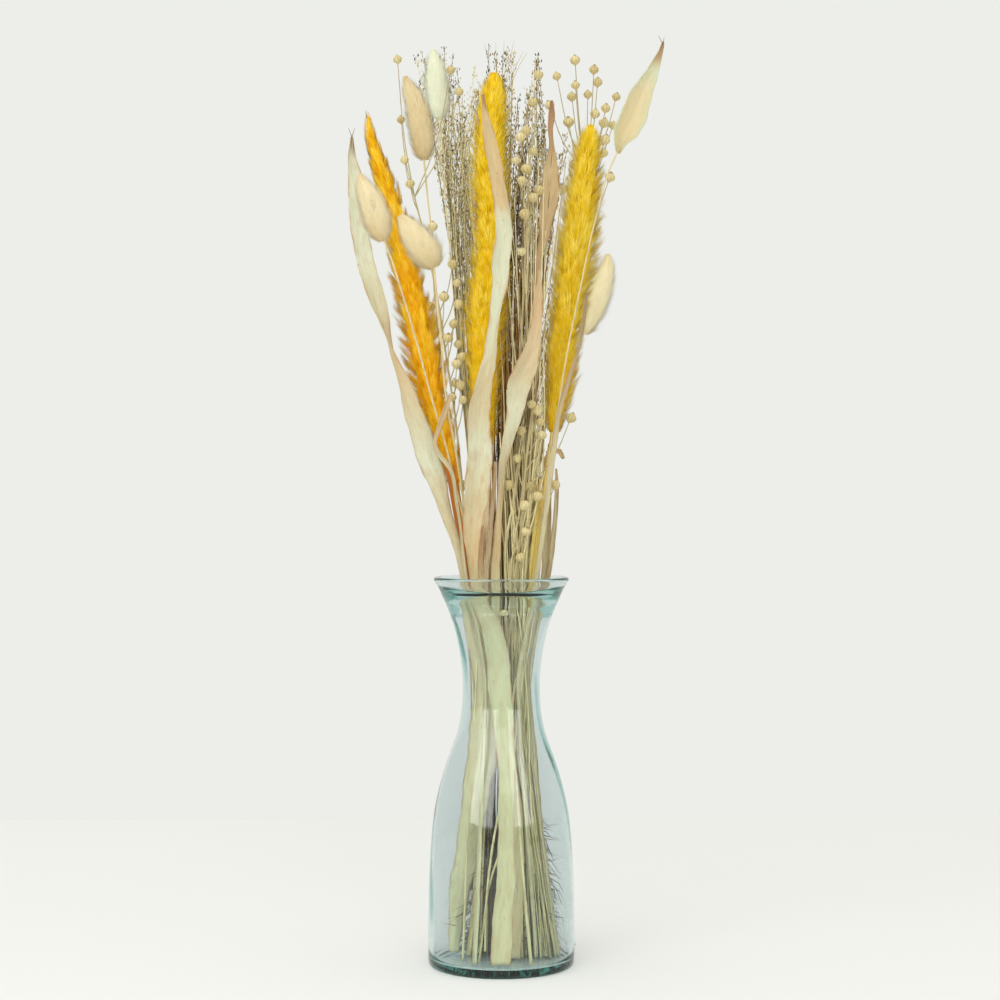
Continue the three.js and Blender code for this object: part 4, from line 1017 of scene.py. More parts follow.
LEAVES = {
    "leaf_left": ([
        [-101, -24, 569, 0.7, 0], [-101, -24, 556, 2.6, 0], [-99, -24, 542, 5, 0], [-97, -25, 525, 6.2, 0],
        [-95.5, -25, 505, 5.8, 0], [-93, -24, 488, 5.8, -10], [-89, -24, 474, 5.8, -15],
        [-85, -23, 460, 5.8, -25], [-80, -22, 445, 5, -50], [-76, -21, 432, 4, -80],
        [-73, -20, 419, 4, -110], [-68, -20, 406, 5, -140], [-63, -20, 392, 6, -160],
        [-58, -20, 377, 6.8, -170], [-53, -20, 361, 7.5, -180], [-48, -20, 347, 7.2, -180],
        [-44, -20, 336, 6.2, -180], [-40, -19, 322, 4.5, -180], [-35, -18, 306, 3.4, -180],
        [-30, -17, 290, 2.7, -180], [-26, -16, 272, 2.4, -180], [-19, -14.5, 232, 4.6, -180],
        [-9, -13.5, 197, 8.6, -180], [-8.5, -13.5, 178, 11, -180], [-12.5, -14.5, 150, 10.6, -180],
        [-18, -13, 117, 9.2, -180], [-25, -6, 74, 8, -180], [-30, 0, 46, 6, -180],
        [-33, 3, FLOOR + 1, 3, -180],
    ], "leaf_pale", [(0, rgb(140, 115, 88)), (0.03, mint), (0.14, mint), (0.22, cream), (0.27, peach),
                     (0.33, cream), (0.39, mint), (0.45, cream), (0.5, cream), (1, foot)], rust,
        {"seed": 31, "awns": [(-103.3, -24, 575), (-99, -24, 575)]}),
    "leaf_centre": ([
        [-12, -36, 594, 0.7, 0], [-11, -36, 582, 1.8, 0], [-8, -37, 566, 4.1, 0], [-5, -38, 551, 4.4, 0],
        [-2, -38, 535, 4.8, 20], [1, -38, 519, 5.4, 25], [2, -37, 501, 5.6, 10], [0, -36, 485, 5.8, 0],
        [-1, -35, 468, 5.2, 20], [-3, -34, 451, 4.6, 45], [-6, -33, 434, 4.6, 40], [-8, -32, 417, 5, 25],
        [-12, -31, 400, 5.8, 15], [-15, -30, 384, 7.2, 0], [-15, -29, 364, 7.8, 0], [-15, -28, 347, 8.4, 0],
        [-17, -28, 329, 8.2, 0], [-19, -27, 312, 6.8, 0], [-20, -26, 296, 5.2, 0], [-19, -25, 281, 3, 0],
        [-18, -24, 269, 3, 0], [-13, -22.5, 252, 5.4, 0], [-5, -19.5, 232, 7, 0], [-1, -18.9, 197, 7.6, 0],
        [3, -25, 146, 5.6, 0], [3, -32, 106, 5, 0], [3, -36, 66, 6, 0], [0, -40, 22, 7, 0],
        [0, -41, FLOOR + 0.5, 6, 0],
    ], "leaf_pale", [(0, brown), (0.02, tan), (0.125, tan), (0.14, mint), (0.25, mint), (0.32, cream),
                     (0.36, cream), (0.4, mint), (0.46, cream), (0.53, tan), (0.62, sage),
                     (1, rgb(226, 225, 174))],
        rust, {"seed": 32}),
    "leaf_right": ([
        [26, -28, 479, 0.6, 0], [26, -28, 472, 1.4, 0], [25, -28, 459, 2.8, 0], [24, -28, 445, 3.4, 0],
        [22, -28, 429, 4.8, 0], [18, -28, 417, 6.8, 0], [13, -27, 405, 7.8, 0], [11, -26, 392, 6.8, 10],
        [8, -25, 378, 5.4, 25], [5, -24, 363, 4.6, 40], [2, -23, 350, 3.8, 45], [0, -22, 337, 2.6, 40],
        [-1, -20, 320, 2, 20], [-2, -19, 303, 1.9, 0], [-3, -18, 286, 2.4, 0], [-4, -17, 271, 3, 0],
        [-2.5, -14.8, 232, 3.1, 0], [-0.8, -14.4, 197, 3.2, 0], [5, -14, 150, 4, 0], [10, -14, 100, 4.4, 0],
        [11, -16, 40, 3.6, 0], [10, -17, FLOOR + 0.5, 3, 0],
    ], "leaf_peach", [(0, tan), (0.06, rgb(226, 198, 154)), (0.15, cream), (0.2, mint), (0.3, cream),
                      (0.42, tan), (0.5, foot), (1, rgb(226, 218, 168))], rust, {"seed": 33}),
    "leaf_brown": ([
        [35, 2, 601, 0.8, 0], [35, 2, 590, 2.2, 0], [34, 2, 581, 1.6, 0], [35, 2, 570, 1.6, 0],
        [35, 2, 560, 3.5, 0], [34, 1, 549, 5.6, 0], [34, 1, 539, 6.1, 0], [33, 1, 528, 6, 0],
        [31, 0, 518, 4.6, 0], [30, 0, 507, 3.2, 0], [27, 0, 497, 2.2, 0], [26, -1, 486, 1.5, 0],
        [25, -2, 455, 1.2, 0], [23, -4, 393, 1.2, 0], [19, -5, 323, 1.2, 0], [16, -5, 270, 1.2, 0],
        [10.5, -3, 232, 1.2, 0], [7.5, -1.5, 197, 1.2, 0], [15, 5, 120, 1.2, 0], [30, 24, FLOOR, 1.2, 0],
    ], "leaf_tan", [(0, brown), (0.03, rgb(186, 148, 104)), (0.08, tan), (0.2, rgb(214, 184, 138)),
                    (1, rgb(206, 188, 130))], umber_edge, {"seed": 34, "curl": 0.3}),
    "leaf_slim_right": ([
        [58, -27, 463, 0.6, 0], [56, -27, 445, 1.3, 30], [53, -27, 427, 1.5, 60], [49, -27, 415, 1.5, 30],
        [44, -27, 400, 1.5, 0], [40, -27, 386, 1.6, 0], [38, -26, 375, 1.6, 0], [34, -24, 345, 1.9, 0],
        [31, -22.5, 320, 1.7, 0], [24, -19, 270, 1.5, 0], [16.5, -17, 232, 1.4, 0],
        [11.5, -16.5, 197, 1.4, 0], [16, -14, 120, 1.4, 0], [24, -10, FLOOR, 1.2, 0],
    ], "leaf_pale", [(0, rgb(166, 144, 110)), (0.12, rgb(196, 172, 130)), (0.24, cream), (1, foot)],
        rgb(166, 132, 90), {"seed": 35}),
    "blade_brown": ([
        [-13, -12, 306, 0.8, 0], [-14, -12, 292, 2, 0], [-14.5, -12, 270, 2.5, 0],
        [-12, -10.5, 232, 2.1, 0], [-10.5, -9.6, 197, 1.9, 0], [-13, -5, 120, 1.8, 0],
        [-23, -4, FLOOR, 1.5, 0],
    ], "leaf_brown", [(0, rgb(216, 176, 128)), (0.12, rgb(238, 208, 162)), (0.25, rgb(236, 216, 168)),
                      (1, rgb(214, 208, 150))], rgb(146, 98, 56), {"seed": 36}),
    "blade_pink": ([
        [-1, -10, 324, 0.8, 0], [-2.5, -10.5, 308, 1.8, 0], [-3.5, -11, 290, 2.6, 0], [-4, -11, 271, 3, 0],
        [-4, -9.5, 232, 2.2, 0], [-3.5, -8.5, 197, 2, 0], [0, -4, 120, 2, 0], [2, 4, FLOOR, 1.6, 0],
    ], "leaf_peach", [(0, rgb(236, 200, 150)), (0.2, rgb(252, 232, 190)), (1, foot)],
        rgb(176, 126, 80), {"seed": 37, "rim": 0.6, "beside": [
            [[-8, -9, 346, 0.7, 0], [-9.5, -10, 330, 2, 10], [-11.5, -11, 305, 2.4, 20],
             [-14, -12, 270, 2, 20], [-14.5, -12.5, 232, 1.6, 10], [-12.5, -11.5, 197, 1.4, 0]],
            [[-4, -7, 350, 0.7, 0], [-5.5, -8, 328, 1.6, -20], [-8, -9.5, 300, 2, -20],
             [-10.5, -11.5, 270, 1.8, 0], [-10.5, -12.5, 232, 1.4, 0], [-9.5, -12, 197, 1.2, 0]],
            [[-2, -6, 338, 0.7, 0], [-2, -7, 318, 1.5, 30], [-5, -8, 290, 1.8, 20], [-6.5, -8, 260, 1.6, 0],
             [-7, -7, 215, 1.2, 0]],
        ]}),
    "blade_straw": ([
        [27, -12, 338, 0.7, 0], [26, -12, 322, 2, 0], [24.5, -12, 300, 3.2, 0], [22, -11, 270, 3.2, 0],
        [18, -6.5, 232, 2, 0], [14.5, -2, 197, 1.5, 0], [22, -1, 120, 1.5, 0], [39, 3, FLOOR, 1.3, 0],
    ], "straw", [(0, rgb(236, 210, 120)), (0.1, rgb(250, 232, 138)), (0.25, rgb(250, 234, 146)), (1, foot)],
        rgb(196, 160, 84), {"seed": 38}),
    "strip_bent": ([
        [-34, -31, 395, 1.2, 0], [-38, -32, 384, 1.7, 0], [-43, -32, 370, 1.8, 20],
        [-45, -32, 363, 1.8, 50], [-43, -32, 356, 1.8, 20], [-34, -30, 343, 1.3, 0],
        [-31, -26.5, 325, 1, 0], [-28.4, -23.4, 308, 0.9, 0], [-24.2, -24.4, 272, 1, 0],
        [-17, -22.5, 240, 1.2, 0], [-10.9, -19.2, 197, 1.2, 0], [-12, -20.8, 150, 1.3, 0],
        [-14, -26, 100, 1.5, 0], [-18, -34, FLOOR, 1.5, 0],
    ], "leaf_pale", [(0, peach), (0.06, rgb(212, 186, 140)), (0.12, cream), (0.25, cream), (1, foot)],
        rgb(170, 132, 84), {"seed": 39}),
    "strip_curled": ([
        [43, -5, 352, 1, 0], [40, -3, 357, 1.8, 10], [35, -3, 356, 2, 20], [31, -3, 350, 2.4, 20],
        [31, -3, 338, 2.8, 0], [32, -3, 322, 3, 0], [31.5, -4, 298, 3, 0], [30, -5, 270, 2.4, 0],
        [22.5, -6.5, 232, 1.4, 0], [18.5, -6.5, 197, 1.3, 0], [26, -6, 120, 1.3, 0],
        [40, -4, FLOOR, 1.2, 0],
    ], "leaf_peach", [(0, peach), (0.06, rgb(228, 200, 150)), (0.12, cream), (0.3, cream), (1, foot)],
        rgb(160, 114, 70), {"seed": 40, "rim": 0.4, "beside": [
            [[38, -4, 345, 0.6, 0], [38.6, -4, 330, 1.3, 20], [36.5, -4.5, 300, 1.6, 20],
             [32, -5.5, 268, 1.5, 0], [24.5, -7, 232, 1, 0], [19.5, -7, 197, 0.9, 0]],
        ]}),
}
print(len(LEAVES), "leaves in the table")

# %% [markdown]
# Now the leaves are built one by one. Fine dark bristles, called awns, are added to the tips that have
# them.

# %% Leaves
def awned(name, blade, tip, ends):
    """A leaf with fine dark awns from its tip to the given ends."""
    ways = []
    for end in ends:
        middle = 0.6 * np.array(tip) + 0.4 * np.array(end)
        ways.append(fanned([[*end, 0.12], [*middle, 0.2], [*tip, 0.3]]))
    hairs = rods(name + "_awns", ways, 4, 8, shade=np.full(len(ways), 0.5))
    return together(name, [blade, coloured(hairs, awn_finish)])


for node, (rows, material_slot, stops, edge, form) in LEAVES.items():
    ends, rim = form.pop("awns", []), form.pop("rim", 0.75)
    finish = leaf_finish(node.replace("_", " "), stops, edge, rim=rim)
    beside = form.pop("beside", [])
    blade = leaf("dry_" + node, rows, finish=finish, **form)
    for number, more in enumerate(beside, 1):
        blade = together("dry_" + node, [blade, leaf("more", more, form["seed"] + 20 * number, finish)])
    if ends:
        blade = awned("dry_" + node, blade, rows[0][:3], ends)
    dressed(blade, node)

# %% [markdown]
# The pointed leaf at the top right still carries its thin stem, and fine awns at its tip.

# %% Top right leaf
bract_finish = leaf_finish("top right leaf", [
    (0, rgb(140, 85, 45)), (0.14, rgb(190, 150, 100)), (0.25, rgb(216, 214, 176)), (0.45, rgb(226, 206, 160)),
    (0.8, rgb(224, 200, 148)), (1, rgb(200, 182, 128))], rgb(206, 218, 180), stain=0.25, rim=0.3)
bract = leaf("dry_leaf_top_right", [
    [110, -20, 634, 0.7, 0], [107, -20, 625, 2, 0], [101, -20, 611, 4.8, 0], [95, -20, 598, 7.5, 0],
    [89, -20, 583, 8.9, 0], [84, -20, 573, 7.9, 0], [81, -20, 566, 4.4, 0], [79.5, -20, 559, 1.2, 0],
], 51, bract_finish, hollow=0.35, wave=0.3)
bract_stem = coloured(rods("bract_stem", [fanned([
    [80.5, -19.8, 563.5, 0.7], [72, -21, 544, 0.6], [66, -22, 522, 0.6], [60, -23, 498, 0.6],
    [54, -23, 469, 0.7], [48, -22, 440, 0.7], [43, -21, 413, 0.7], [39, -20, 387, 0.7], [34, -18, 358, 0.7],
    [29, -16, 317, 0.7],
    *into_vase(0.7, (25, -14), (18, -11.5), (13.5, -11), (20, -4), (34, 8)),
])], 6, 90, shade=[0.5]), straw_stalk)
bract = awned("dry_leaf_top_right", bract, (109.5, -20, 632), [(106.5, -20, 638), (110.3, -20, 637)])
dressed(together("dry_leaf_top_right", [bract, bract_stem]), "leaf_top_right")

# %% [markdown]
# Flax keeps its round seed pods when it dries. A pod is a ball with eight soft ribs, a small point on top
# and another below. It hangs at the end of a hair-thin twig that forks from the main stem.

# %% Pod and twigs
POD_RADIUS = 3.5
TWIG_RADIUS = 0.36
TWIG_DROP, TWIG_LEAN = 14, 1.2


def pod_mould():
    """A round pod with eight ribs and a drawn-out point, 1 in radius."""
    ball = add(bpy.ops.mesh.primitive_uv_sphere_add, "pod", segments=16, ring_count=8, radius=1)
    points = corners(ball)
    away = np.hypot(points[:, 0], points[:, 1])
    turn = np.arctan2(points[:, 1], points[:, 0])
    points[:, :2] *= (1 + 0.08 * np.cos(8 * turn) * away)[:, None]
    points[:, 2] = 0.92 * points[:, 2] + 0.3 * np.exp(-(away / 0.3) ** 2) * np.sign(points[:, 2])
    return {**mould(moved(ball, points)), "ribs": np.cos(8 * turn) * away}


pod = pod_mould()
print("a pod has", len(pod["faces"]), "faces")


def stem_at(rows, z):
    """The point of a main stem at a height."""
    places = np.linspace(0, len(rows) - 1, 600)
    way = smooth(rows, places)
    return np.array([np.interp(-z, -way[:, 2], way[:, k]) for k in range(3)])


def twig(rows, tip):
    """A side twig from its tip down into the main stem."""
    beside = stem_at(rows, min(tip[2], rows[0, 2]))
    away = math.hypot(tip[0] - beside[0], tip[1] - beside[1])
    root = stem_at(rows, min(tip[2] - TWIG_DROP - TWIG_LEAN * away, rows[0, 2] - 4))
    bow = root + (tip - root) * (0.62, 0.62, 0.45)
    return np.array([[*tip, TWIG_RADIUS * 0.7], [*bow, TWIG_RADIUS], [*root, TWIG_RADIUS * 1.2]])


def balls(name, pattern, places, ups, sizes, **marks):
    """Copies of a round pattern, each turned so that its top points along its own direction."""
    across = unit(np.cross(ups, (0.2, 0.9, 0.1)))
    behind = np.cross(ups, across)
    shape = pattern["points"]
    turned = shape[None, :, :1] * across[:, None] + shape[None, :, 1:2] * behind[:, None] \
        + shape[None, :, 2:] * ups[:, None]
    return cast(name, pattern, places[:, None] + sizes[:, None, None] * turned,
                {"along": np.clip(shape[None, :, 2], -1, 1), **marks})


pod_finish = Finish("dry seed pod", Roughness=0.65)
patches = pod_finish.noise(pod_finish.place(), 330, 3)
pod_tone = pod_finish.mark("shade") * 0.45 + patches * 0.7 - 0.08
pod_colour = pod_finish.ramp(pod_tone, [(0, rgb(166, 142, 84)), (0.4, rgb(214, 196, 136)),
                                        (1, rgb(240, 226, 174))], "EASE")
pod_colour = pod_finish.mix(pod_finish.mark("rib").between(-0.3, -0.9) * 0.5, pod_colour, rgb(140, 108, 60))
pod_colour = pod_finish.mix(pod_finish.mark("along").between(0.8, 1.0), pod_colour, rgb(120, 84, 44))
pod_finish.paint(pod_colour, patches, 0.0005, 0.6)
twig_finish = stalk_finish("flax twig", rgb(196, 178, 128), rgb(206, 198, 138), rgb(120, 100, 62))


def pod_spray(name, node, route, tips, seed, extra=()):
    """A spray of pods at the construction model's tips, and a few more."""
    rows = fanned(route)
    roll = np.random.default_rng(seed)
    tips = fanned(list(tips) + list(extra))
    count = len(tips)
    ways = [twig(rows, tip) for tip in tips]
    twigs = rods(name + "_twigs", ways, 4, 12, shade=np.full(count, 0.5))
    ups = unit(tips - np.array([way[1, :3] for way in ways]) + 8 * (roll.random((count, 3)) - 0.5))
    sizes = POD_RADIUS * (0.82 + 0.24 * roll.random(count))
    pods = coloured(balls(name, pod, tips, ups, sizes, shade=roll.random(count)), pod_finish.material)
    marked(pods.data, "rib", np.tile(pod["ribs"], count))
    main = rods(name + "_main", [rows], 6, 90, shade=[0.5])
    spray = together(name, [pods, coloured(twigs, twig_finish), coloured(main, twig_finish)])
    return dressed(spray, node)

# %% [markdown]
# Four sprays stand in the bouquet. Each has its main stem's route, the tips where the construction model
# has its pods, and a few more pods that its form is too coarse for.

# %% Flax sprays
pod_spray("flax_spray_left", "flax_left", [
    [-62, 14, 540, 0.6], [-52, 12, 500, 0.7], [-44, 9, 460, 0.8], [-38, 7, 420, 0.8], [-32, 4, 380, 0.8],
    [-27, 1, 330, 0.9],
    *into_vase(0.9, (-23.5, -1), (-22.5, 0), (-21.5, -0.5), (-20, 3), (-19, 17)),
], [
    [-74, 24, 637], [-71, 18, 592], [-68, 12, 562], [-64, 11, 545], [-48, 6, 514], [-40, 6, 465],
    [-34, 8, 488], [-31, 9, 475], [-30, 7, 460], [-37, 2, 436], [-33, 4, 446], [-30, 7, 432], [-31, 1, 418],
    [-27, 5, 423], [-32.5, 9, 405], [-28, 3, 403], [-26.5, 4, 393], [-34, 3, 395],
], 61, [[-36, 20, 628], [-30, 18, 612], [-49, 5, 458], [-44, 4, 402], [-27, 6, 333]])
pod_spray("flax_spray_centre", "flax_centre", [
    [20, -4, 560, 0.6], [18, -8, 520, 0.7], [16, -10, 480, 0.8], [14, -8, 440, 0.8], [12, -6, 400, 0.8],
    [11, -3, 340, 0.9],
    *into_vase(0.9, (9, -1), (4, -1), (2, -2.5), (8, 2), (12, 14)),
], [
    [13, -8, 573], [17, -2, 579], [10, -12, 556], [22, -1, 565], [17, -10, 551], [14, -14, 542],
    [26, -6, 537], [22, -11, 531], [16, -16, 519], [14, -18, 493], [26, 6, 620], [22, 3, 600],
], 62)
pod_spray("flax_spray_right", "flax_right", [
    [60, 15, 560, 0.6], [54, 20, 515, 0.7], [47, 22, 470, 0.8], [40, 20, 430, 0.8], [33, 17, 390, 0.8],
    [26, 14, 340, 0.9],
    *into_vase(0.9, (19, 11), (14, 9.5), (9, 9.5), (18, 16), (26, 30)),
], [
    [39, 12, 621], [52, 14, 633], [52, 10, 614], [50, 20, 609], [61, 15, 609], [34, 10, 600], [47, 6, 587],
    [65, 10, 625], [68, 16, 618], [73, 7, 597], [66, 14, 595], [72, 12, 588], [79, 18, 588], [73, 15, 577],
    [72, 13, 567], [76, 8, 549], [81, 14, 607], [43, 10, 541], [51, 14, 559],
], 63)
pod_spray("flax_spray_low", "flax_low", [
    [20, -20, 378, 0.6], [17, -22, 350, 0.7], [14, -22, 310, 0.8], [10, -19, 270, 0.8],
    [6, -12.8, 232, 0.9], [4.8, -11.6, 197, 0.9], [14, -8, 120, 0.9], [20, -4, FLOOR, 0.9],
], [
    [21, -19, 389], [25, -17, 385], [14, -17.5, 371], [27, -16, 377], [28, -20, 368], [20, -16.5, 333],
    [25, -22.5, 326], [16, -26, 320], [17, -26, 302], [13, -24, 284], [5, -16, 334], [11, -18, 352],
], 64, [[37, -16, 334], [48, -10, 380], [2, -22, 249]])

# %% [markdown]
# The dark grass is what fills the bouquet: 260 stems as thin as thread, each with a narrow spray of tiny
# spikelets near its top. One spikelet is a small pointed grain. A bunch follows its main route from the
# neck of the vase upwards and opens out, each stem with its own drift. Below the neck every stem runs
# straight on to its own point on the vase's floor, where fine root hairs stand off it and form a dark felt.

# %% Threads and spikelets
GRAIN_SPACING, GRAIN_REACH, GRAIN_LENGTH = 1.5, 110, 2.2
THREAD_RINGS = 22
THREAD_RADIUS = 0.34
STATIONS = (540, 480, 420, 360, 310, 270, 232)
SPREAD_AT = (NECK, 270, 350, 450, 550)
FEET_WITHIN, ROOTS_WITHIN = 40, 44
ROOTS_EACH = 26
ROOT_ZONE = 90
ROOT_THICK = 0.34
grain = pointed_mould("grain", 3, 0.4)
print("a spikelet has", len(grain["faces"]), "faces")


def threads(route, tips, count, seed, spread, floor_spot, floor_spread, jitter, radius):
    """Thin stems that follow a bunch's main route, from each tip down to the vase's floor.

    spread says how far they stand off the route at the heights of SPREAD_AT. Their feet lie round
    floor_spot, up to floor_spread away. Stems beyond the number of tips take a tip again, moved by jitter.
    """
    rows = fanned(route)
    tips = fanned(tips)
    roll = np.random.default_rng(seed)
    ways = []
    for k in range(count):
        tip = tips[k % len(tips)] + (roll.random(3) - (0.5, 0.2, 1)) * jitter * (k >= len(tips))
        drift = roll.random(2) * 2 - 1
        tip_beside = stem_at(rows, min(tip[2], rows[0, 2]))
        join = min(tip[2] - 30 - 70 * roll.random(), rows[0, 2] - 6)
        way = [[*tip, radius * 0.5]]
        for z in [join] + [z for z in STATIONS if z < join - 15] + [NECK]:
            open_out = np.interp(z, SPREAD_AT, spread)
            shift = drift * open_out * (1, 0.8)
            lean = 0.3 * np.clip((z - join + 60) / 60, 0, 1)
            at = stem_at(rows, z)[:2] + shift + (tip[:2] - tip_beside[:2] - shift) * lean
            way.append([*at, z, radius])
        foot_at = np.array(floor_spot) + drift * floor_spread
        foot_at = foot_at * min(1, FEET_WITHIN / np.linalg.norm(foot_at))
        neck = np.array(way[-1][:2])
        for share in (0.35, 0.7, 1.0):
            at = neck + (foot_at - neck) * share
            way.append([*at, NECK + (FLOOR - NECK) * share, radius * 1.1])
        ways.append(np.array(way))
    return ways, roll


def grains_on(name, ways, roll, shades):
    """Spikelets on the top part of each thread."""
    roots, leads, tones = [], [], []
    for way, shade in zip(ways, shades):
        places, length = even_places(way, 200)
        top = min(GRAIN_REACH * (0.6 + 0.6 * roll.random()), length * 0.6)
        count = int(top / GRAIN_SPACING)
        s = roll.random(count) ** 1.2 * top / length * 199
        turn = 2 * math.pi * roll.random(count)
        out = np.stack([np.cos(turn), np.sin(turn), 0 * turn], axis=1)
        away = (0.3 + 1.9 * roll.random(count))[:, None]
        roots.append(at_station(smooth(way, places)[:, :3], s) + out * away)
        lead = unit(out * (0.5 * roll.random((count, 1))) + (0, 0, 1.0))
        leads.append(lead * (GRAIN_LENGTH * (0.6 + 0.8 * roll.random((count, 1)))))
        tones.append(np.clip(shade + 0.5 * (roll.random(count) - 0.5), 0, 1))
    roots, leads = np.vstack(roots), np.vstack(leads)
    thick = 0.17 * np.linalg.norm(leads, axis=1) + 0.1
    return sticks(name, grain, roots, roots + leads * 0.5, roots + leads, thick, shade=np.concatenate(tones))

# %% [markdown]
# Grass of one bunch isn't of one colour. The tone changes from stem to stem and in patches along them, and
# the height on the piece picks the ramp that turns the tone into a colour: straw at the top, golden brown
# in the belt just above the rim, and a dark olive green inside the vase that fades out up the neck. That
# dark olive is partly the stems' own colour and partly painted shade of the crowded neck and the vase.

# %% Grass bunches
BELT = 0.53, 0.47
# Between these heights in metres the dark olive, partly painted shade, comes in.
GREEN_AND_SHADE = 0.37, 0.27


def grass_finish(name, dark, middle, light, belt=None):
    """Thin dry grass with a dark green foot, partly painted shade, and a belt of other colours above it if
    there is one.
    """
    made = Finish(name, Roughness=0.8)
    patches = made.noise(made.place(), 160, 2)
    tone = made.mark("shade") * 0.9 + (patches - 0.5) * 0.4
    colour = made.ramp(tone, [(0, dark), (0.5, middle), (1, light)])
    # Dark olive for the foot and the neck: the stems' own colour, darkened as painted shade.
    green_and_shade = made.ramp(tone, [(0, rgb(40, 32, 12)), (0.5, rgb(100, 86, 42)), (1, rgb(230, 220, 156))])
    rise = made.node("ShaderNodeSeparateXYZ", out="Z", Vector=made.place())
    if belt:
        colour = made.mix(rise.between(*BELT), colour, made.ramp(tone, belt))
    return made.paint(made.mix(rise.between(*GREEN_AND_SHADE), colour, green_and_shade))


def root_hairs(name, ways, roll, each):
    """Short fine hairs that stand off the feet of the threads."""
    roots, leads = [], []
    for way in ways:
        heights = FLOOR + 6 + ROOT_ZONE * roll.random(each) ** 1.3
        places, _ = even_places(way, 200)
        line = smooth(way, places)[::-1]
        roots.append(np.stack([np.interp(heights, line[:, 2], line[:, k]) for k in range(3)], axis=1))
        leads.append(unit(roll.random((each, 3)) - (0.5, 0.5, 1.0)) * (8 + 24 * roll.random((each, 1))))
    roots, leads = np.vstack(roots), np.vstack(leads)
    bends = roots + leads * 0.5 + 9 * (roll.random(leads.shape) - 0.5)
    tips = roots + leads
    tips[:, :2] *= np.minimum(1, ROOTS_WITHIN / np.linalg.norm(tips[:, :2], axis=1))[:, None]
    tips[:, 2] = np.maximum(tips[:, 2], FLOOR + 1)
    return sticks(name, hair, roots, bends, tips, ROOT_THICK, shade=0.2 + 0.45 * roll.random(len(roots)))


def grass_bunch(name, node, route, tips, count, seed, finish, spread, floor_spot, floor_spread,
                jitter=(9, 12, 34), wisps=()):
    """A bunch of grass: thread-thin stems, spikelets near their tops and fine roots at their feet."""
    ways, roll = threads(route, tips, count, seed, spread, floor_spot, floor_spread, jitter, THREAD_RADIUS)
    shades = 0.9 * roll.random(count) ** 1.4
    stems = rods(name + "_stems", ways + [fanned(way) for way in wisps], 3, THREAD_RINGS,
                 shade=np.append(shades, np.full(len(wisps), 0.4)))
    seeds = grains_on(name + "_grains", ways, roll, shades)
    rootlets = root_hairs(name + "_roots", ways, roll, ROOTS_EACH)
    return dressed(coloured(together(name, [stems, seeds, rootlets]), finish), node)


olive = grass_finish("olive grass", rgb(112, 102, 62), rgb(224, 208, 152), rgb(255, 246, 206))
umber = grass_finish("umber grass", rgb(88, 74, 36), rgb(190, 168, 106), rgb(250, 234, 178),
                     [(0, rgb(84, 52, 16)), (0.5, rgb(172, 122, 50)), (1, rgb(248, 216, 140))])
grass_bunch("dark_grass_left", "grass_left", [
    [-35, 26, 572, 0.8], [-31, 24, 542, 0.9], [-28, 20, 513, 1], [-25, 16, 477, 1.1], [-23, 12, 435, 1.1],
    [-19, 10, 379, 1.1], [-15, 8, 323, 1.1],
    *into_vase(1.1, (-11, 7), (-11, 6), (-11, 4.5), (-8, 11), (-7, 24)),
], [
    [-58, 43, 648], [-53, 43, 636], [-41, 34, 650], [-35, 31, 643], [-32, 28, 607], [-28, 36, 618],
    [-25, 30, 599], [-19, 28, 633], [-16, 34, 624], [-24, 22, 575], [-38, 20, 590], [-20, 30, 560],
    [-30, 26, 540], [-24, 22, 520],
], 60, 71, olive, (2.5, 4, 6, 9, 11), (-9, 18), (10, 16))
grass_bunch("dark_grass_back", "grass_back", [
    [-1, 22, 585, 0.8], [-2, 20, 540, 0.9], [-3, 16, 470, 1], [-3, 12, 400, 1], [-3, 9, 330, 1],
    *into_vase(1, (-3, 7), (-4, 6), (-4.5, 6), (-2, 12), (-2, 26)),
], [[-9, 20, 645], [-5, 27, 642], [1, 22, 640], [5, 30, 647], [7, 17, 636], [12, 22, 603]],
    50, 72, umber, (3.5, 6, 8, 9, 9), (-2, 16), (12, 18), jitter=(12, 12, 120), wisps=[
        [[18.5, 24, 642, 0.1], [12, 22, 630, 0.16], [2, 20, 606, 0.2]],
        [[16, 26, 644, 0.1], [9, 24, 628, 0.16], [1, 20, 600, 0.2]],
        [[9, 20, 649, 0.1], [5, 20, 630, 0.16], [0, 20, 604, 0.2]],
        [[-4, 24, 649, 0.1], [-3, 22, 628, 0.16], [-2, 20, 600, 0.2]],
        [[2, 18, 648, 0.1], [1, 20, 626, 0.16], [-1, 20, 600, 0.2]],
        [[-12, 22, 647, 0.1], [-8, 22, 628, 0.16], [-4, 20, 602, 0.2]],
    ])
grass_bunch("dark_grass_right", "grass_right", [
    [22, 20, 560, 0.8], [20, 18, 534, 0.9], [17, 16, 491, 1], [14, 14, 442, 1.1], [11, 12, 393, 1.1],
    [9, 10, 337, 1.1],
    *into_vase(1.1, (7, 9), (4, 8), (2, 7.5), (8, 14), (14, 28)),
], [
    [26, 24, 640], [22, 18, 616], [17, 30, 600], [28, 18, 597], [32, 32, 588], [46, 27, 584], [39, 38, 572],
    [16, 36, 578], [11, 24, 549], [30, 26, 540], [8, 20, 505], [22, 24, 500], [20, 20, 455], [12, 20, 520],
    [34, 20, 530], [26, 20, 480], [14, 16, 440], [24, 18, 430], [6, 14, 460], [0, 10, 400], [4, 8, 372],
    [-2, 10, 430], [8, 12, 355], [-4, 12, 470], [40, 18, 476], [38, 14, 440], [34, 12, 410],
], 150, 73, umber, (3.5, 7, 10, 13, 14), (24, 18), (15, 11))

# %% [markdown]
# Straw-coloured stems stand among the dark grass, straight and bare. Four of them are the construction
# model's, and thinner ones fill the gaps between those. Four more thick ones stand wholly inside the vase.

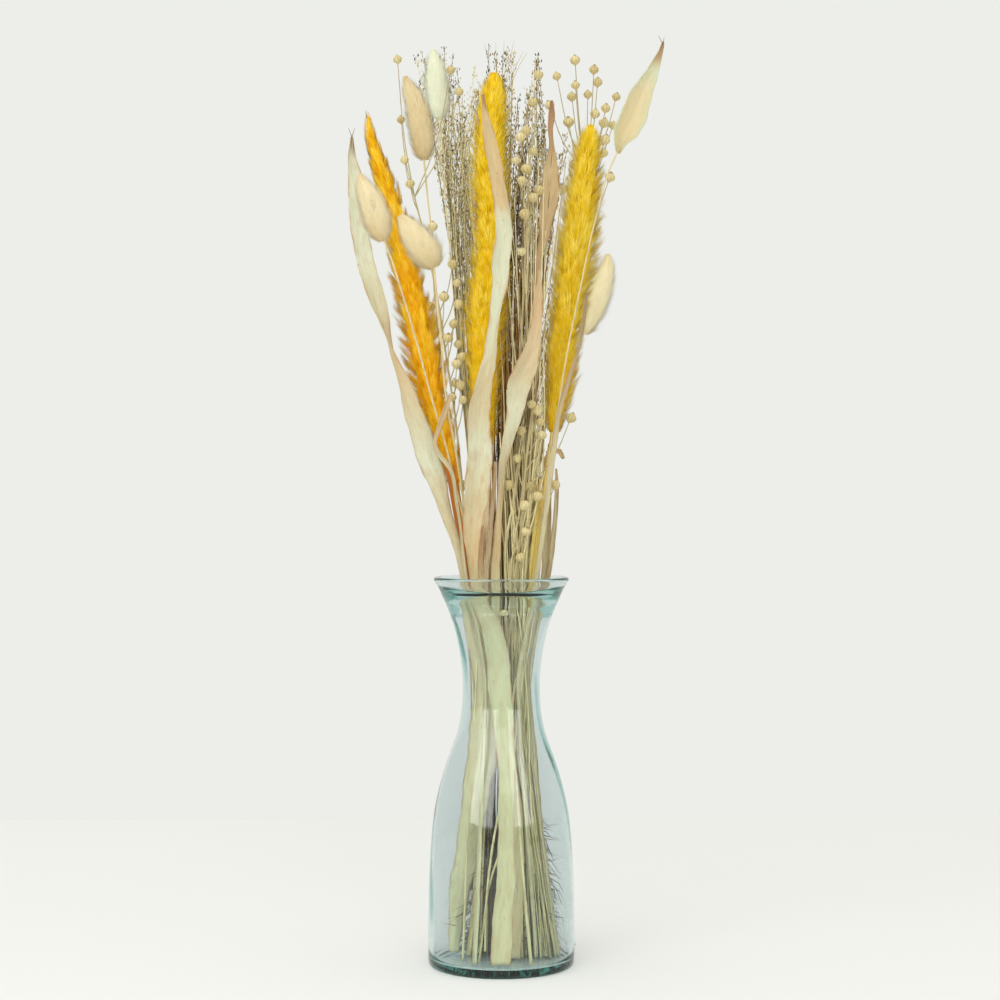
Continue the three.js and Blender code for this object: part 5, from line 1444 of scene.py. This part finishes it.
# %% Straws
straw_ways = [
    [[29, 13, 548, 0.5], [26, 12, 470, 0.8], [21, 8, 400, 0.9], [17, 5, 350, 0.9], [13, 4, 300, 0.9],
     *into_vase(0.9, (11.5, 4), (8.5, 3.5), (6.5, 3.5), (11.5, 9), (20, 18))],
    [[20, 9, 520, 0.5], [18, 8, 460, 0.6], [19, 7, 400, 0.6], [17, 5, 350, 0.6], [15, 4.4, 325, 0.6]],
    [[35, 10, 500, 0.5], [31, 11, 470, 0.6], [24, 9, 420, 0.6], [19, 6.4, 375, 0.6]],
    [[11, 0, 420, 0.5], [12, 3, 380, 0.6], [16, 4.5, 335, 0.6]],
]
thin_ways, _ = threads(straw_ways[0], [
    [34, 6, 560], [28, 4, 540], [22, 2, 530], [16, 0, 515], [12, -4, 490], [30, 2, 500], [24, 0, 470],
    [8, -6, 450], [18, -4, 440], [14, -6, 410], [22, -8, 400], [6, -8, 380], [26, -4, 420], [10, -10, 360],
    [20, -10, 350],
], 60, 81, (3, 8, 11, 13, 13), (20, 6), (17, 16), (10, 14, 40), 0.33)
in_vase = [
    [[18.5, -14, 254, 0.8], [13, -14, 212, 1], [7.4, -15, 181, 1], [11, -26, 110, 1.1], [15, -34, 60, 1.2],
     [20, -38, FLOOR, 1.3]],
    [[19, -8, 250, 0.5], [14, -12, 205, 0.7], [9, -14, 150, 0.7], [3, -20, 97, 0.8], [-9, -24, 55, 0.8],
     [-15, -26, FLOOR, 0.8]],
    [[0, -12, 120, 0.6], [-6, -22, 84, 0.9], [-10, -28, 50, 0.9], [-11, -30, FLOOR + 8, 0.9]],
    [[-15, -16, 230, 0.5], [-19, -14, 150, 0.7], [-24, -18, 80, 0.8], [-26, -22, FLOOR, 0.8]],
]
print(len(straw_ways) + len(in_vase), "thick straws and", len(thin_ways), "routes for thin ones")

# %% [markdown]
# Just above the rim the straws cross each other in all directions. Two boxes are set for each group, one
# high and one low. A straw joins a random point of the high box to one of the low box and then bends down
# through the neck to its own place on the floor. The bright group stands in front. Every third of the thin
# routes from above stands with them.

# %% Crossing straws
STRAW_NECK = [(3, -13), (17, 5)]
STRAW_FEET = [(10, -14), (38, 12)]
RADIUS_SHARES = (0.6, 1, 1, 1.1, 1.1, 1.1)


def in_box(roll, box):
    """A random point of a box, which is given by two corners."""
    low, high = np.array(box, float)
    return low + (high - low) * roll.random(len(low))


def crossing(count, seed, high, low, radius):
    """Straight stems that cross each other between two boxes."""
    roll = np.random.default_rng(seed)
    ways = []
    for _ in range(count):
        top, under = in_box(roll, high), in_box(roll, low)
        neck = np.append(in_box(roll, STRAW_NECK), NECK)
        foot = np.append(in_box(roll, STRAW_FEET), FLOOR)
        places = [top, (top + under) / 2 + (roll.random(3) - 0.5) * (2, 2, 0), under, neck,
                  (neck + foot) / 2 + (roll.random(3) - 0.5) * (5, 5, 0), foot]
        ways.append(fanned([[*place, radius * share] for place, share in zip(places, RADIUS_SHARES)]))
    return ways


bright = crossing(24, 84, [(-2, -20, 310), (30, -8, 400)], [(2, -18, 264), (19, -8, 284)], 0.58)
crossed = crossing(44, 85, [(-2, -8, 440), (46, 12, 570)], [(0, -12, 310), (30, 4, 350)], 0.38)
thick_ways = [fanned(way) for way in straw_ways + in_vase]
thick_straws = rods("straws_thick", thick_ways, 6, 50, shade=np.full(len(thick_ways), 0.5))
thin_ways = thin_ways[::3] + crossed
shades = np.random.default_rng(86).random(len(thin_ways)) ** 0.7
shades = np.append(shades, np.linspace(0.3, 0.6, len(bright)))
thin_straws = rods("straws_thin", thin_ways + bright, 4, 30, shade=shades)
dressed(coloured(together("pale_straws", [thick_straws, thin_straws]), cream_straw), "straws")

# %% [markdown]
# Last, the size of the construction model is printed.

# %% Sizes
print("construction box", [tuple(round(v, 4) for v in corner) for corner in cad_box])
